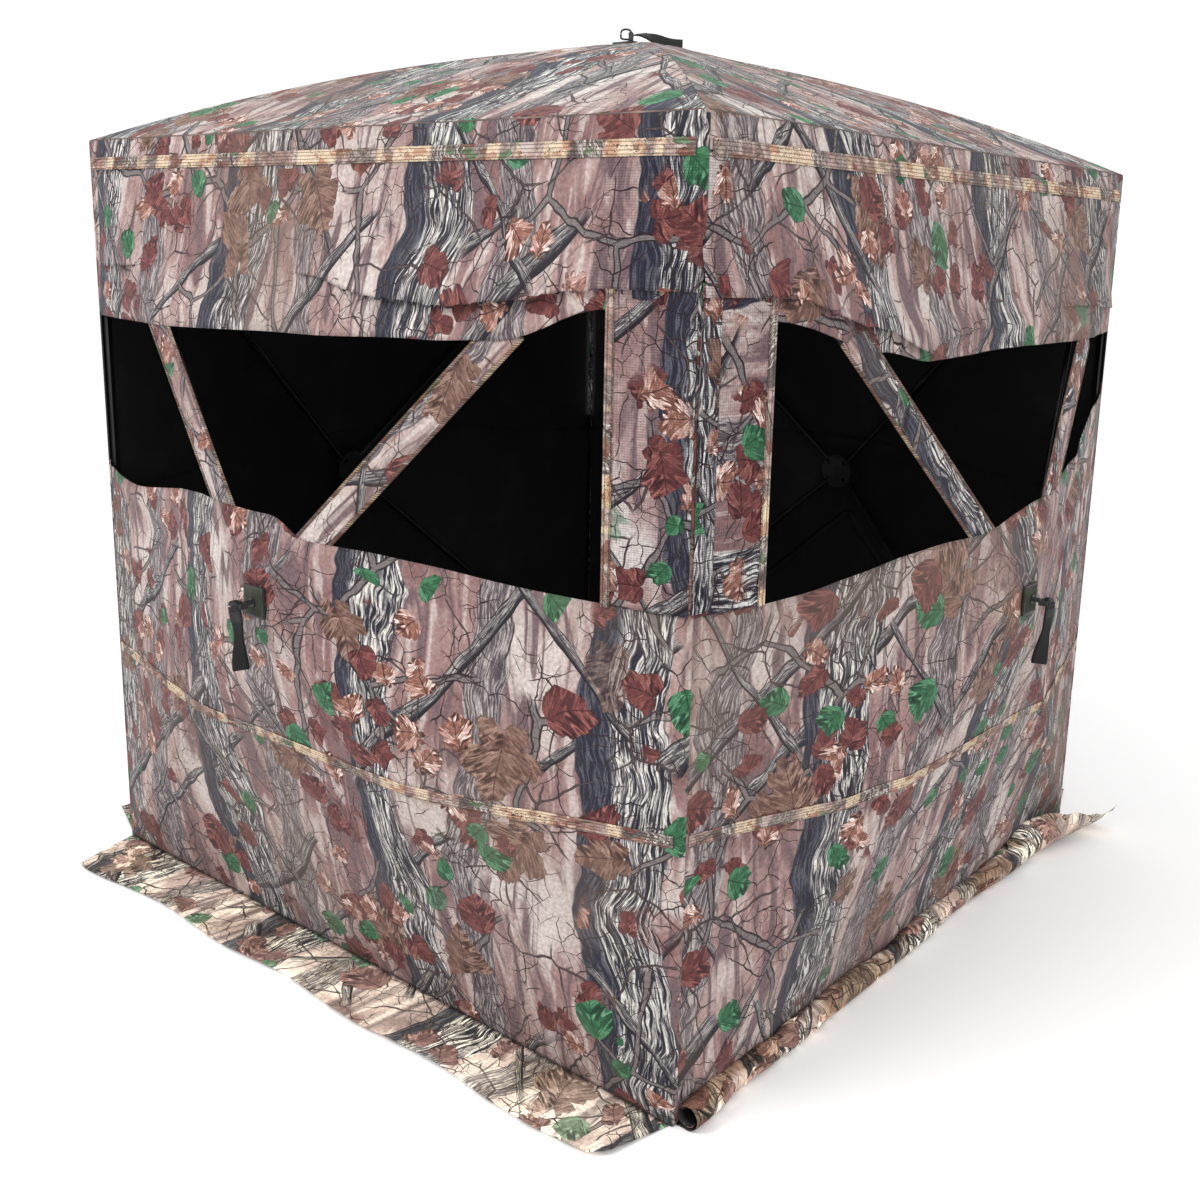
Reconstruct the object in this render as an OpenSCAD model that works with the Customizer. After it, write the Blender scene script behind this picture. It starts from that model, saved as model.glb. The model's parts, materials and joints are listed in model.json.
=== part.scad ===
// Hub-style pop-up ground blind, set up.
// Frame: millimetres, +Z up, origin on the ground at the centre of the footprint.
// The front wall faces -Y, the right wall +X, the back wall +Y and the left wall -X.

/* [Shell] */
// Half of the square footprint, from the centre to a wall's edge line
half_w = 750; // [650:10:850]
// Height of the eave line
eave_h = 1465; // [1300:5:1600]
// Height of the roof's peak above the eave line
roof_rise = 219; // [170:1:240]
// How far a wall's hub stands out of the plane of that wall's four edges
wall_bulge = 177; // [150:1:200]
// Height of a wall's hub above the ground
hub_h = 710; // [650:5:760]
// Height of the roof cloth's bow above a straight gore
gore_bow = 36; // [20:1:50]
// Thickness of the shell's cloth
cloth_t = 1.6; // [1:0.2:3]
// Width of the opening along every seam at a hub, where flat facets cross as they pass through level
seam_trim = 18; // [16:1:26]
// The same for the roof, which travels further
roof_seam_trim = 25; // [23:1:30]
// Extra opening halfway along the roof's bowed seams
roof_bow_trim = 15; // [12:1:20]

/* [Windows] */
// Height of the lower edge of an open window at the corner of the wall
window_low_side = 803; // [780:1:815]
// Height of the lower edge of an open window at the upper poles
window_low_mid = 850; // [830:1:870]
// Height of the upper edge of an open window
window_top = 1140; // [1100:5:1180]
// Lowest and highest edge of the mesh panel on the front corner
panel_low = 796; // [780:1:830]
// Highest edge of the mesh panel on the front corner
panel_top = 1249; // [1200:1:1280]
// Width of the mesh panel on each side of the front corner
panel_w = 125; // [100:1:150]

/* [Poles] */
// Diameter of a fibreglass pole
pole_d = 9; // [8:0.5:9]
// Diameter of the cap on a pole's free end
tip_d = 10.4; // [10:0.2:11]
// Diameter of the pin that holds a pole in its hub
pin_d = 5; // [4:0.5:6]
// Radial clearance of a pole's eye on its pin
pin_fit = 0.05; // [0.03:0.01:0.1]
// Bow of a roof pole
roof_pole_bow = 30; // [20:1:32]

/* [Hubs] */
// Radius of the hub's inner disc
hub_r = 44; // [42:1:46]
// Distance from the hub's axis to the pole pins
pin_ring_r = 35; // [34:0.5:36]
// Depth of the pins' plane behind the cloth
pin_drop = 16; // [14:1:18]
// Distance of the pull strap's pin in front of the cloth
strap_out = 36; // [34:1:40]
// Distance of the pull strap's pin over the peak of the roof
roof_strap_out = 20; // [20:1:30]
// Length of a pull strap below its pin
strap_l = 112; // [90:1:118]
// Width of a pull strap
strap_w = 25; // [20:1:26]
// Direction in which the pull strap lies on the roof
roof_strap_angle = 38; // [0:1:359]
// How far the strap on the roof droops from level
roof_strap_droop = 12; // [0:1:13]

/* [Corner fittings] */
// Depth of the sockets' meeting point behind the planes of the walls and the eave
socket_drop = 32; // [30:1:34]
// Radius of the hole for a ground stake
stake_hole_r = 6; // [4:0.5:7]
// Thickness of the plate that the stake goes through
stake_plate_t = 5; // [4:0.5:8]

/* [Ground skirt] */
// Width of the skirt in front
skirt_front_w = 138; // [100:1:170]
// Width of the skirt behind
skirt_back_w = 140; // [100:1:170]
// Width of the skirt on the left
skirt_left_w = 150; // [100:1:170]
// Radius of the roll that the skirt on the right has curled into
skirt_roll_r = 17; // [12:1:20]

/* [Door] */
// Distance of the door's fold from the seam over the pole beside it
door_fold_gap = 45; // [40:1:60]
// Distance of the door's zipped edge from the seam over the other pole
door_zip_gap = 110; // [105:1:140]
// Distance of the door's lower edge from the ground, along the cloth
door_sill = 62; // [60:1:90]
// Gap round the door
door_gap = 1.5; // [1:0.5:3]

/* [Hidden] */
$fn = 48;
WALLS = ["front", "right", "back", "left"];
CORNERS = ["front_right", "back_right", "back_left", "front_left"];
SIDES = ["left", "right"];
LEVELS = ["lower", "upper"];

// Where each facet starts, measured from the line that it turns about
hem_gap = 6;
corner_gap = 4.5;
seam_start = 1.5;
// Where the facets' tips end, measured from the hub
facet_tip = 72;
gore_tip = 80;

// The slopes of a wall's facets, and their lengths from edge line to hub
low_tilt = atan2(wall_bulge, hub_h);
top_tilt = atan2(wall_bulge, eave_h - hub_h);
side_tilt = atan2(wall_bulge, half_w);
low_len = norm([wall_bulge, hub_h]);
top_len = norm([wall_bulge, eave_h - hub_h]);
side_len = norm([wall_bulge, half_w]);
gore_len = norm([roof_rise, half_w]);
gore_tilt = atan2(roof_rise, half_w);
gore_r = (pow(gore_len, 2) / 4 + pow(gore_bow, 2)) / (2 * gore_bow);

// The pole directions seen along the hub's axis, from the hub
lower_angle = atan2(-hub_h, half_w);
upper_angle = atan2(eave_h - hub_h, half_w);
lower_diag = norm([hub_h, half_w]);
upper_diag = norm([eave_h - hub_h, half_w]);
roof_diag = norm([half_w, half_w]);

// Sockets: the distances along their axes from the point where the axes meet
socket_floor = 21;
socket_mouth = 55;
socket_r = 9.5;
roof_socket_floor = 22;
roof_socket_mouth = 66;
roof_socket_r = 12.5;
socket_wall = 2.5;
grip = 12;
block_r = 16;
foot_r = 13;
stake_reach = 84;
stake_arm_w = 22;
stake_pad_r = 14;
meet = half_w - socket_drop;
meet_low = socket_drop * hub_h / half_w;
meet_top = eave_h - socket_drop * (eave_h - hub_h) / half_w;

// Straight poles: how far a pole reaches across and down from its pin
pole_fall = wall_bulge - pin_drop + socket_drop;
lower_reach = lower_diag * meet / half_w - pin_ring_r - socket_mouth + grip;
upper_reach = upper_diag * meet / half_w - pin_ring_r - socket_mouth + grip;
roof_fall = roof_rise - pin_drop + socket_drop;
roof_reach = roof_diag * meet / half_w - pin_ring_r - roof_socket_mouth + grip;

// Hub details
slot_w = pole_d + 1;
eye_w = 8;
eye_r = 6.5;
disc_t = 16;
stem_r = 7;
patch_w = 52;
patch_lift = 2.5;
patch_t = 2;
bolt_r = 4;
bolt_head_r = 8;
yoke_drop = 9.5;
yoke_t = 4;
ear_t = 2.5;
ear_r = 4.5;
strap_t = 3;
strap_eye_r = 5.5;
ear_gap = 1;

// Skirt
skirt_start = 7;
skirt_end_taper = 34;
roll_offset = 42;

// Zip slider
slider_w = 9;
slider_l = 16;
slider_t = 5;
slider_tab_l = 22;

// Places children in wall w, in (across, up, outwards) measured from the foot of the wall
module in_wall(w) {
    rotate([0, 0, 90 * w])
        translate([0, -half_w, 0])
            rotate([90, 0, 0])
                children();
}

// Places children at the hub of wall w
module at_hub(w) {
    in_wall(w)
        translate([0, hub_h, wall_bulge])
            children();
}

// Half width of a facet at distance t from its edge line, less the opening along its two seams
function facet_half(t, len, trim) =
    half_w * (1 - t / len) - (seam_start + (trim - seam_start) * t / len) * norm([len, half_w]) / len;

// Lower and upper limits of a side facet at distance s from the corner of the wall
function seam_gap(s) = seam_start + (seam_trim - seam_start) * s / side_len;
function side_low(s) = hub_h * s / side_len + seam_gap(s) * norm([hub_h, side_len]) / side_len;
function side_top(s) =
    eave_h - (eave_h - hub_h) * s / side_len
    - seam_gap(s) * norm([eave_h - hub_h, side_len]) / side_len;

// A flat facet between two distances from its edge line
module facet_strip(t0, t1, len) {
    polygon([
        [-facet_half(t0, len, seam_trim), t0],
        [facet_half(t0, len, seam_trim), t0],
        [facet_half(t1, len, seam_trim), t1],
        [-facet_half(t1, len, seam_trim), t1]
    ]);
}

// Turns a flat outline into cloth
module cloth() {
    linear_extrude(height = cloth_t, center = true)
        children();
}

// The disc that the four poles turn in, with its square patch and the yoke of the pull strap.
// angles are the poles' directions, strap_angle is the way the strap lies, and out is its
// pin's height over the hub's peak.
module hub_body(angles, strap_angle, out) {
    color("#26282a")
    difference() {
        union() {
            translate([0, 0, -pin_drop - disc_t / 2])
                cylinder(r = hub_r, h = disc_t);
            translate([0, 0, -pin_drop])
                cylinder(r = stem_r, h = pin_drop + patch_lift + 1);
            translate([-patch_w / 2, -patch_w / 2, patch_lift])
                cube([patch_w, patch_w, patch_t]);
            rotate([0, 0, strap_angle])
                strap_yoke(out);
        }
        for (a = angles)
            rotate([0, 0, a])
                translate([pin_ring_r - eye_r - 2, -slot_w / 2, -pin_drop - disc_t])
                    cube([hub_r, slot_w, 2 * disc_t]);
    }
    color("#8a8c8e")
    for (a = angles)
        rotate([0, 0, a])
            translate([pin_ring_r, 0, -pin_drop])
                rotate([90, 0, 0])
                    cylinder(d = pin_d, h = slot_w + 8, center = true);
}

// The bolt in front of the cloth, and the yoke and pin that it carries at height out
module strap_yoke(out) {
    yoke_w = strap_w + 2 * (ear_gap + ear_t);
    translate([0, 0, patch_lift + 1])
        cylinder(r = bolt_head_r, h = patch_t + 3);
    cylinder(r = bolt_r, h = out - yoke_drop);
    translate([-ear_r, -yoke_w / 2, out - yoke_drop - yoke_t / 2])
        cube([2 * ear_r, yoke_w, yoke_t]);
    for (s = [-1, 1])
        translate([0, s * (yoke_w - ear_t) / 2, out])
            strap_ear();
    translate([0, 0, out])
        rotate([90, 0, 0])
            cylinder(d = pin_d, h = yoke_w - ear_t, center = true);
}

// An ear of the yoke, with its round end about the pin
module strap_ear() {
    rotate([90, 0, 0])
        cylinder(r = ear_r, h = ear_t, center = true);
    translate([-ear_r, -ear_t / 2, -yoke_drop])
        cube([2 * ear_r, ear_t, yoke_drop]);
}

// A webbing strap with a sewn eye, lying along +X from its pin at height out and drooping
// by an angle
module strap_body(droop, out) {
    color("#1c1c1e")
    translate([0, 0, out])
    rotate([0, droop, 0])
    difference() {
        union() {
            rotate([90, 0, 0])
                cylinder(r = strap_eye_r, h = strap_w, center = true);
            translate([0, -strap_w / 2, -strap_t / 2])
                cube([strap_l - strap_w / 2, strap_w, strap_t]);
            translate([strap_l - strap_w / 2, 0, -strap_t / 2])
                cylinder(r = strap_w / 2, h = strap_t);
        }
        rotate([90, 0, 0])
            cylinder(d = pin_d + 2 * pin_fit, h = strap_w + 2, center = true);
    }
}

// The eye at a pole's inner end, with its hole on the Y axis
module pole_eye() {
    rotate([90, 0, 0])
        cylinder(r = eye_r, h = eye_w, center = true);
    rotate([0, 90, 0])
        cylinder(r = 3.9, h = 16);
}

module pin_hole() {
    rotate([90, 0, 0])
        cylinder(d = pin_d + 2 * pin_fit, h = 2 * eye_w, center = true);
}

// A straight pole along +X, from its pin to its tip
module straight_pole(len) {
    color("#303234")
    difference() {
        union() {
            pole_eye();
            translate([eye_r + 3, 0, 0])
                rotate([0, 90, 0])
                    cylinder(d = pole_d, h = len - eye_r - 3 - 1);
            translate([len - 18, 0, 0])
                rotate([0, 90, 0])
                    cylinder(d = tip_d, h = 18);
        }
        pin_hole();
    }
}

// A bowed pole whose chord lies along +X and whose bow rises along +Z
module bowed_pole(len, bow) {
    r = (pow(len, 2) / 4 + pow(bow, 2)) / (2 * bow);
    half = asin(len / 2 / r);
    start = asin((eye_r + 3) / r);
    color("#303234")
    difference() {
        union() {
            pole_eye();
            translate([len / 2, 0, bow - r])
                rotate([90, 0, 0])
                    rotate([0, 0, 90 - half])
                        rotate_extrude(angle = 2 * half - start, $fn = 96)
                            translate([r, 0])
                                circle(d = pole_d);
            translate([len, 0, 0])
                rotate([0, 90 + half, 0])
                    translate([0, 0, -18])
                        cylinder(d = tip_d, h = 18);
        }
        pin_hole();
    }
}

// The four directions of a wall's poles: lower left, lower right, upper left, upper right
wall_angles = [180 - lower_angle, lower_angle, 180 - upper_angle, upper_angle];

module wall_hub(w) {
    at_hub(w)
        hub_body(wall_angles, -90, strap_out);
}

module wall_strap(w) {
    at_hub(w)
        rotate([0, 0, -90])
            strap_body(0, strap_out);
}

// Pole of wall w: v is 0 lower and 1 upper, s is 0 left and 1 right
module wall_pole(w, v, s) {
    reach = v == 0 ? lower_reach : upper_reach;
    at_hub(w)
        rotate([0, 0, wall_angles[2 * v + s]])
            translate([pin_ring_r, 0, -pin_drop])
                rotate([0, atan2(pole_fall, reach), 0])
                    straight_pole(norm([reach, pole_fall]));
}

// The facet below the hub, which turns about the ground line. The back wall's holds the door.
module wall_bottom(w) {
    color("#8d7f78")
    in_wall(w)
        rotate([low_tilt, 0, 0])
            cloth()
                difference() {
                    facet_strip(hem_gap, low_len - facet_tip, low_len);
                    if (w == 2)
                        door_outline(door_gap);
                }
}

// The facet above the hub, which turns about the eave line: whole where the window is shut
module wall_top(w) {
    shut = w > 1;
    t_window = (eave_h - window_top) / cos(top_tilt);
    t_low = (eave_h - window_low_mid) / cos(top_tilt);
    t_tip = top_len - facet_tip;
    color("#8d7f78")
    in_wall(w)
        translate([0, eave_h, 0])
            rotate([-top_tilt, 0, 0])
                mirror([0, 1, 0])
                    cloth() {
                        facet_strip(hem_gap, shut ? t_tip : t_window, top_len);
                        if (!shut)
                            facet_strip(t_low, t_tip, top_len);
                    }
}

// A side facet, which turns about the wall's upright corner line
module wall_side(w, s) {
    shut = w > 1;
    s_tip = side_len - facet_tip;
    s_window = (eave_h - window_low_mid) * side_len / (eave_h - hub_h) - seam_trim;
    s_top = (eave_h - window_top) * side_len / (eave_h - hub_h) - seam_trim;
    color("#8d7f78")
    in_wall(w)
        mirror([1 - s, 0, 0])
            translate([half_w, 0, 0])
                rotate([0, side_tilt, 0])
                    mirror([1, 0, 0])
                        cloth() {
                            if (shut)
                                polygon([
                                    [corner_gap, side_low(corner_gap)],
                                    [s_tip, side_low(s_tip)],
                                    [s_tip, side_top(s_tip)],
                                    [corner_gap, side_top(corner_gap)]
                                ]);
                            if (!shut)
                                polygon([
                                    [corner_gap, side_low(corner_gap)],
                                    [s_tip, side_low(s_tip)],
                                    [s_tip, side_top(s_tip)],
                                    [s_window, side_top(s_window)],
                                    [corner_gap, window_low_side]
                                ]);
                            if (!shut)
                                polygon([
                                    [corner_gap, window_top],
                                    [s_top, window_top],
                                    [s_top, side_top(s_top)],
                                    [corner_gap, side_top(corner_gap)]
                                ]);
                        }
}

// Half of the mesh panel that closes the front corner of the two open windows
module corner_panel(w, s) {
    color("#9a7b70")
    in_wall(w)
        mirror([1 - s, 0, 0])
            translate([half_w, 0, 0])
                rotate([0, side_tilt, 0])
                    translate([0, 0, cloth_t + 0.8])
                        mirror([1, 0, 0])
                            cloth()
                                translate([corner_gap, panel_low])
                                    square([panel_w - corner_gap, panel_top - panel_low]);
}

// The roof
module roof_hub() {
    color("#26282a")
    translate([0, 0, eave_h + roof_rise])
        hub_body([45, 135, 225, 315], roof_strap_angle, roof_strap_out);
}

module roof_strap() {
    translate([0, 0, eave_h + roof_rise])
        rotate([0, 0, roof_strap_angle])
            strap_body(roof_strap_droop, roof_strap_out);
}

// Roof pole towards corner c, counted from the front right corner
module roof_pole(c) {
    translate([0, 0, eave_h + roof_rise])
        rotate([0, 0, 90 * c - 45])
            translate([pin_ring_r, 0, -pin_drop])
                rotate([0, atan2(roof_fall, roof_reach), 0])
                    bowed_pole(norm([roof_reach, roof_fall]), roof_pole_bow);
}

// A gore: part of a wide tube that bows over the chord from the eave line to the peak
module roof_gore(w) {
    color("#8d7f78")
    rotate([0, 0, 90 * w])
        intersection() {
            translate([0, -half_w / 2, eave_h + roof_rise / 2])
                rotate([gore_tilt, 0, 0])
                    translate([0, 0, gore_bow - gore_r])
                        rotate([0, 90, 0])
                            difference() {
                                cylinder(r = gore_r + cloth_t / 2, h = 2 * half_w, center = true, $fn = 360);
                                cylinder(r = gore_r - cloth_t / 2, h = 3 * half_w, center = true, $fn = 360);
                            }
            translate([0, -half_w, eave_h - 20])
                linear_extrude(height = roof_rise + 80)
                    polygon(concat(
                        [for (y = gore_steps) [gore_half(y), y]],
                        [for (i = [1:len(gore_steps)])
                            let (y = gore_steps[len(gore_steps) - i])
                                [-gore_half(y), y]]
                    ));
        }
}

// Where a gore's outline has its corners, as distances from the eave line seen from above
gore_steps = [for (i = [0:6]) hem_gap + (half_w - gore_tip - hem_gap) * i / 6];

// Half width of a gore at distance y from the eave line. The opening grows towards the hub,
// and is widest where the bow makes neighbouring gores cross.
function gore_half(y) =
    let (along = y / half_w)
        half_w - y - sqrt(2) * (seam_start + (roof_seam_trim - seam_start) * along
            + roof_bow_trim * 4 * along * (1 - along));

// A socket along +X from the point where a corner's sockets meet
module socket_shell(mouth, r) {
    rotate([0, 90, 0])
        cylinder(r = r + socket_wall, h = mouth);
}

module socket_bore(floor_at, mouth, r) {
    rotate([0, 90, 0])
        translate([0, 0, floor_at])
            cylinder(r = r, h = mouth - floor_at + 1);
}

// The two wall poles' sockets of corner c at height h, pointing back to the hubs at angle a
module corner_sockets(c, h, a, bore) {
    for (s = [0, 1])
        in_wall(s == 1 ? c : (c + 1) % 4)
            mirror([1 - s, 0, 0])
                translate([meet, h, -socket_drop])
                    rotate([0, 0, 180 + a])
                        if (bore)
                            socket_bore(socket_floor, socket_mouth, socket_r);
                        else
                            socket_shell(socket_mouth, socket_r);
}

// Places children on the upright line where the poles of corner c meet, +X outwards
module at_corner(c, h) {
    rotate([0, 0, 90 * c - 45])
        translate([meet * sqrt(2), 0, h])
            children();
}

// The moulded block that takes two wall poles and a roof pole at an upper corner
module top_corner_fitting(c) {
    color("#26282a")
    difference() {
        union() {
            corner_sockets(c, meet_top, upper_angle, false);
            at_corner(c, eave_h - socket_drop) {
                sphere(r = block_r);
                mirror([1, 0, 0])
                    socket_shell(roof_socket_mouth, roof_socket_r);
            }
        }
        corner_sockets(c, meet_top, upper_angle, true);
        at_corner(c, eave_h - socket_drop)
            mirror([1, 0, 0])
                socket_bore(roof_socket_floor, roof_socket_mouth, roof_socket_r);
    }
}

// The moulded foot that takes two wall poles and a ground stake at a lower corner
module bottom_corner_fitting(c) {
    color("#26282a")
    difference() {
        union() {
            corner_sockets(c, meet_low, lower_angle, false);
            at_corner(c, 0) {
                translate([0, 0, meet_low])
                    sphere(r = block_r);
                cylinder(r = foot_r, h = meet_low);
                translate([-stake_reach, -stake_arm_w / 2, 0])
                    cube([stake_reach, stake_arm_w, stake_plate_t]);
                translate([-stake_reach, 0, 0])
                    cylinder(r = stake_pad_r, h = stake_plate_t);
            }
        }
        corner_sockets(c, meet_low, lower_angle, true);
        at_corner(c, 0)
            translate([-stake_reach, 0, -1])
                cylinder(r = stake_hole_r, h = stake_plate_t + 2);
    }
}

// The corded seam between the roof and the walls
module eave_piping() {
    piping_r = 3;
    color("#2b2625")
    for (w = [0:3])
        rotate([0, 0, 90 * w]) {
            translate([-half_w, -half_w, eave_h])
                rotate([0, 90, 0])
                    cylinder(r = piping_r, h = 2 * half_w);
            translate([half_w, -half_w, eave_h])
                sphere(r = piping_r);
        }
}

// The seam tapes down the four corners
module corner_tapes() {
    tape_r = 2.2;
    color("#2b2625")
    for (w = [0:3])
        rotate([0, 0, 90 * w])
            translate([half_w, -half_w, hem_gap])
                cylinder(r = tape_r, h = eave_h - hem_gap - 5);
}

// The cloth that lies on the ground round the foot of the walls, curled up on the right side
module ground_skirt() {
    widths = [skirt_front_w, 0, skirt_back_w, skirt_left_w];
    color("#c8b89c")
    for (w = [0, 2, 3])
        rotate([0, 0, 90 * w])
            translate([0, -half_w, 0])
                linear_extrude(height = cloth_t)
                    polygon([
                        [-half_w, -skirt_start],
                        [half_w, -skirt_start],
                        [half_w - skirt_end_taper, -widths[w]],
                        [-half_w + skirt_end_taper, -widths[w]]
                    ]);
    color("#c8b89c")
    rotate([0, 0, 90])
        translate([0, -half_w, 0]) {
            translate([-half_w, -roll_offset, 0])
                cube([2 * half_w, roll_offset - skirt_start, cloth_t]);
            difference() {
                translate([-half_w, -roll_offset, skirt_roll_r])
                    rotate([0, 90, 0])
                        cylinder(r = skirt_roll_r, h = 2 * half_w);
                translate([-half_w - 1, -roll_offset, skirt_roll_r])
                    rotate([0, 90, 0])
                        cylinder(r = skirt_roll_r - cloth_t, h = 2 * half_w + 2);
            }
        }
}

// The door's outline in the back wall's lower facet, grown by g. It folds along the seam on the left.
// Across is u and up along the cloth is t; the seams run from the corners to the hub.
function seam_u(t, d) = half_w * (1 - t / low_len) - d * norm([low_len, half_w]) / low_len;
door_top = low_len * (1 - (door_fold_gap + door_zip_gap) * norm([low_len, half_w]) / low_len / 2 / half_w);

module door_outline(g) {
    offset(delta = g)
        polygon([
            [-seam_u(door_sill, door_fold_gap), door_sill],
            [seam_u(door_sill, door_zip_gap), door_sill],
            [seam_u(door_top, door_zip_gap), door_top]
        ]);
}

module door_flap() {
    color("#8d7f78")
    in_wall(2)
        rotate([low_tilt, 0, 0])
            cloth()
                door_outline(0);
}

// The slider of the door's zip, which runs up along the door's free edge
module door_zip_slider() {
    zip_angle = atan2(low_len, -half_w);
    color("#8a8c8e")
    in_wall(2)
        rotate([low_tilt, 0, 0])
            translate([seam_u(door_sill, door_zip_gap) + 6, door_sill, cloth_t / 2 + 0.5])
                rotate([0, 0, zip_angle])
                    translate([slider_l, -slider_w / 2 - door_gap - 4, 0]) {
                        translate([-slider_l / 2, -slider_w / 2, 0])
                            cube([slider_l, slider_w, slider_t]);
                        translate([-slider_l / 2 - slider_tab_l + 6, -3, slider_t - 1])
                            cube([slider_tab_l, 6, 2]);
                    }
}

for (w = [0:3]) {
    wall_hub(w);
    wall_strap(w);
    for (v = [0, 1])
        for (s = [0, 1])
            wall_pole(w, v, s);
    wall_bottom(w);
    wall_top(w);
    for (s = [0, 1])
        wall_side(w, s);
    roof_pole(w);
    roof_gore(w);
}
roof_hub();  // hub_roof
roof_strap();  // pull_strap_roof
corner_panel(0, 1);  // corner_panel_front
corner_panel(1, 0);  // corner_panel_right
door_flap();
door_zip_slider();
for (c = [0:3]) {
    top_corner_fitting(c);  // top_corner_fittings
    bottom_corner_fitting(c);  // bottom_corner_fittings
}
eave_piping();
corner_tapes();
ground_skirt();
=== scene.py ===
import json
import math

import bmesh
import bpy
from mathutils import Matrix, Vector, noise


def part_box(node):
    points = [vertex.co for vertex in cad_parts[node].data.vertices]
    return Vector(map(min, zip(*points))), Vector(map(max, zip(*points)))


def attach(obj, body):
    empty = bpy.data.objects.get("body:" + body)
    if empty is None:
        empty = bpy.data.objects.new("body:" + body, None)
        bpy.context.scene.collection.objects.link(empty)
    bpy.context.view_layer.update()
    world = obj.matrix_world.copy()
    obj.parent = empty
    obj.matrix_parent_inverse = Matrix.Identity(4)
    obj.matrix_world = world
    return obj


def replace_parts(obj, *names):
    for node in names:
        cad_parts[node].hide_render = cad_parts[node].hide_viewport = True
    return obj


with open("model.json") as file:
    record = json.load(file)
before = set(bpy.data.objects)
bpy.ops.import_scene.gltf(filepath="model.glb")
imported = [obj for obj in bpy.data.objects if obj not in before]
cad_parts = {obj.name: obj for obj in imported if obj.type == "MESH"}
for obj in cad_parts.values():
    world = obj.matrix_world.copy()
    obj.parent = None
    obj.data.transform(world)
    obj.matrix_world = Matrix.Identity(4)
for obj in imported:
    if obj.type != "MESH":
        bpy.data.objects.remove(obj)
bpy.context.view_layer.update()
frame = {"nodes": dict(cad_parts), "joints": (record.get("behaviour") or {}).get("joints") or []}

# ---------------------------------------------------------------- measures

JOINTS = {j["name"]: j for j in frame["joints"]}
WALLS = ("front", "right", "back", "left")
PIPING_R = (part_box("eave_piping")[1].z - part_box("eave_piping")[0].z) / 2
HALF_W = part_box("eave_piping")[1].x - PIPING_R
EAVE_H = (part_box("eave_piping")[1].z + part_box("eave_piping")[0].z) / 2
HUB_H = (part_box("hub_front")[1].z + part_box("hub_front")[0].z) / 2
BULGE = JOINTS["front_hub_slide"]["range_m"][1] / 2
RISE = JOINTS["roof_hub_slide"]["range_m"][1] / 2
ROOF_BOW = 0.034  # how far the roof's ribs bow up
CLOTH = 0.0012
DOOR_GAP = 0.0015
PANEL_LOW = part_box("corner_panel_front")[0].z
PANEL_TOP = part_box("corner_panel_front")[1].z
PANEL_W = 0.125
BOLT_HOLE = 0.017  # radius of the hole in the cloth round a hub's bolt
PRINT_STEP = 2.03  # how far apart two walls lie on the printed cloth
TURN = 6.283
CLOTH_PITCH = 0.0012  # two threads of the weave


def blend_in(x, low, high):
    """0 below low, 1 above high, smooth between."""
    t = min(max((x - low) / (high - low), 0.0), 1.0)
    return t * t * (3 - 2 * t)


def curve(*points):
    """A smooth height along the wall through the points given."""

    def at(u):
        if u <= points[0][0]:
            return points[0][1]
        for (a, p), (b, q) in zip(points, points[1:]):
            if u <= b:
                return p + (q - p) * blend_in(u, a, b)
        return points[-1][1]

    return at


WINDOW_TOP = (
    curve((-0.75, 1.128), (-0.4, 1.13), (0.0, 1.139), (0.3, 1.149), (0.44, 1.156), (0.62, 1.208)),
    curve((-0.75, 1.21), (-0.62, 1.196), (-0.38, 1.146), (-0.24, 1.126), (0.1, 1.134), (0.75, 1.136)),
    curve((-0.75, 1.135), (0.0, 1.128), (0.75, 1.138)),
    curve((-0.75, 1.138), (0.1, 1.13), (0.75, 1.13)),
)
WINDOW_LOW = (
    curve((-0.75, 0.822), (-0.6, 0.81), (-0.21, 0.851), (0.0, 0.85), (0.1, 0.823), (0.63, 0.797)),
    curve((-0.63, 0.795), (-0.2, 0.838), (0.15, 0.868), (0.4, 0.905), (0.62, 0.985), (0.72, 1.0)),
    curve((-0.75, 0.806), (-0.1, 0.85), (0.1, 0.85), (0.75, 0.804)),
    curve((-0.75, 0.804), (-0.12, 0.85), (0.12, 0.85), (0.75, 0.812)),
)
FOLD_LINE = (
    curve((0.0, 1.232), (0.18, 1.215), (0.34, 1.21), (0.44, 1.22), (0.62, 1.236)),
    curve((-0.62, 1.232), (-0.42, 1.192), (-0.26, 1.15), (-0.1, 1.165), (0.3, 1.2)),
    curve((-0.75, 1.21), (0.75, 1.22)),
    curve((-0.75, 1.22), (0.75, 1.21)),
)
FOLD_DEPTH = (
    curve((-0.75, 0), (-0.64, 0.013), (-0.45, 0), (-0.1, 0), (0.2, 0.018), (0.42, 0.02), (0.62, 0.006)),
    curve((-0.64, 0.01), (-0.3, 0.018), (-0.2, 0.004), (0.1, 0), (0.45, 0.002), (0.63, 0.015), (0.75, 0)),
    curve((-0.5, 0.0), (-0.2, 0.007), (0.1, 0.0)),
    curve((0.0, 0.0), (0.4, 0.006), (0.6, 0.0)),
)
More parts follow.
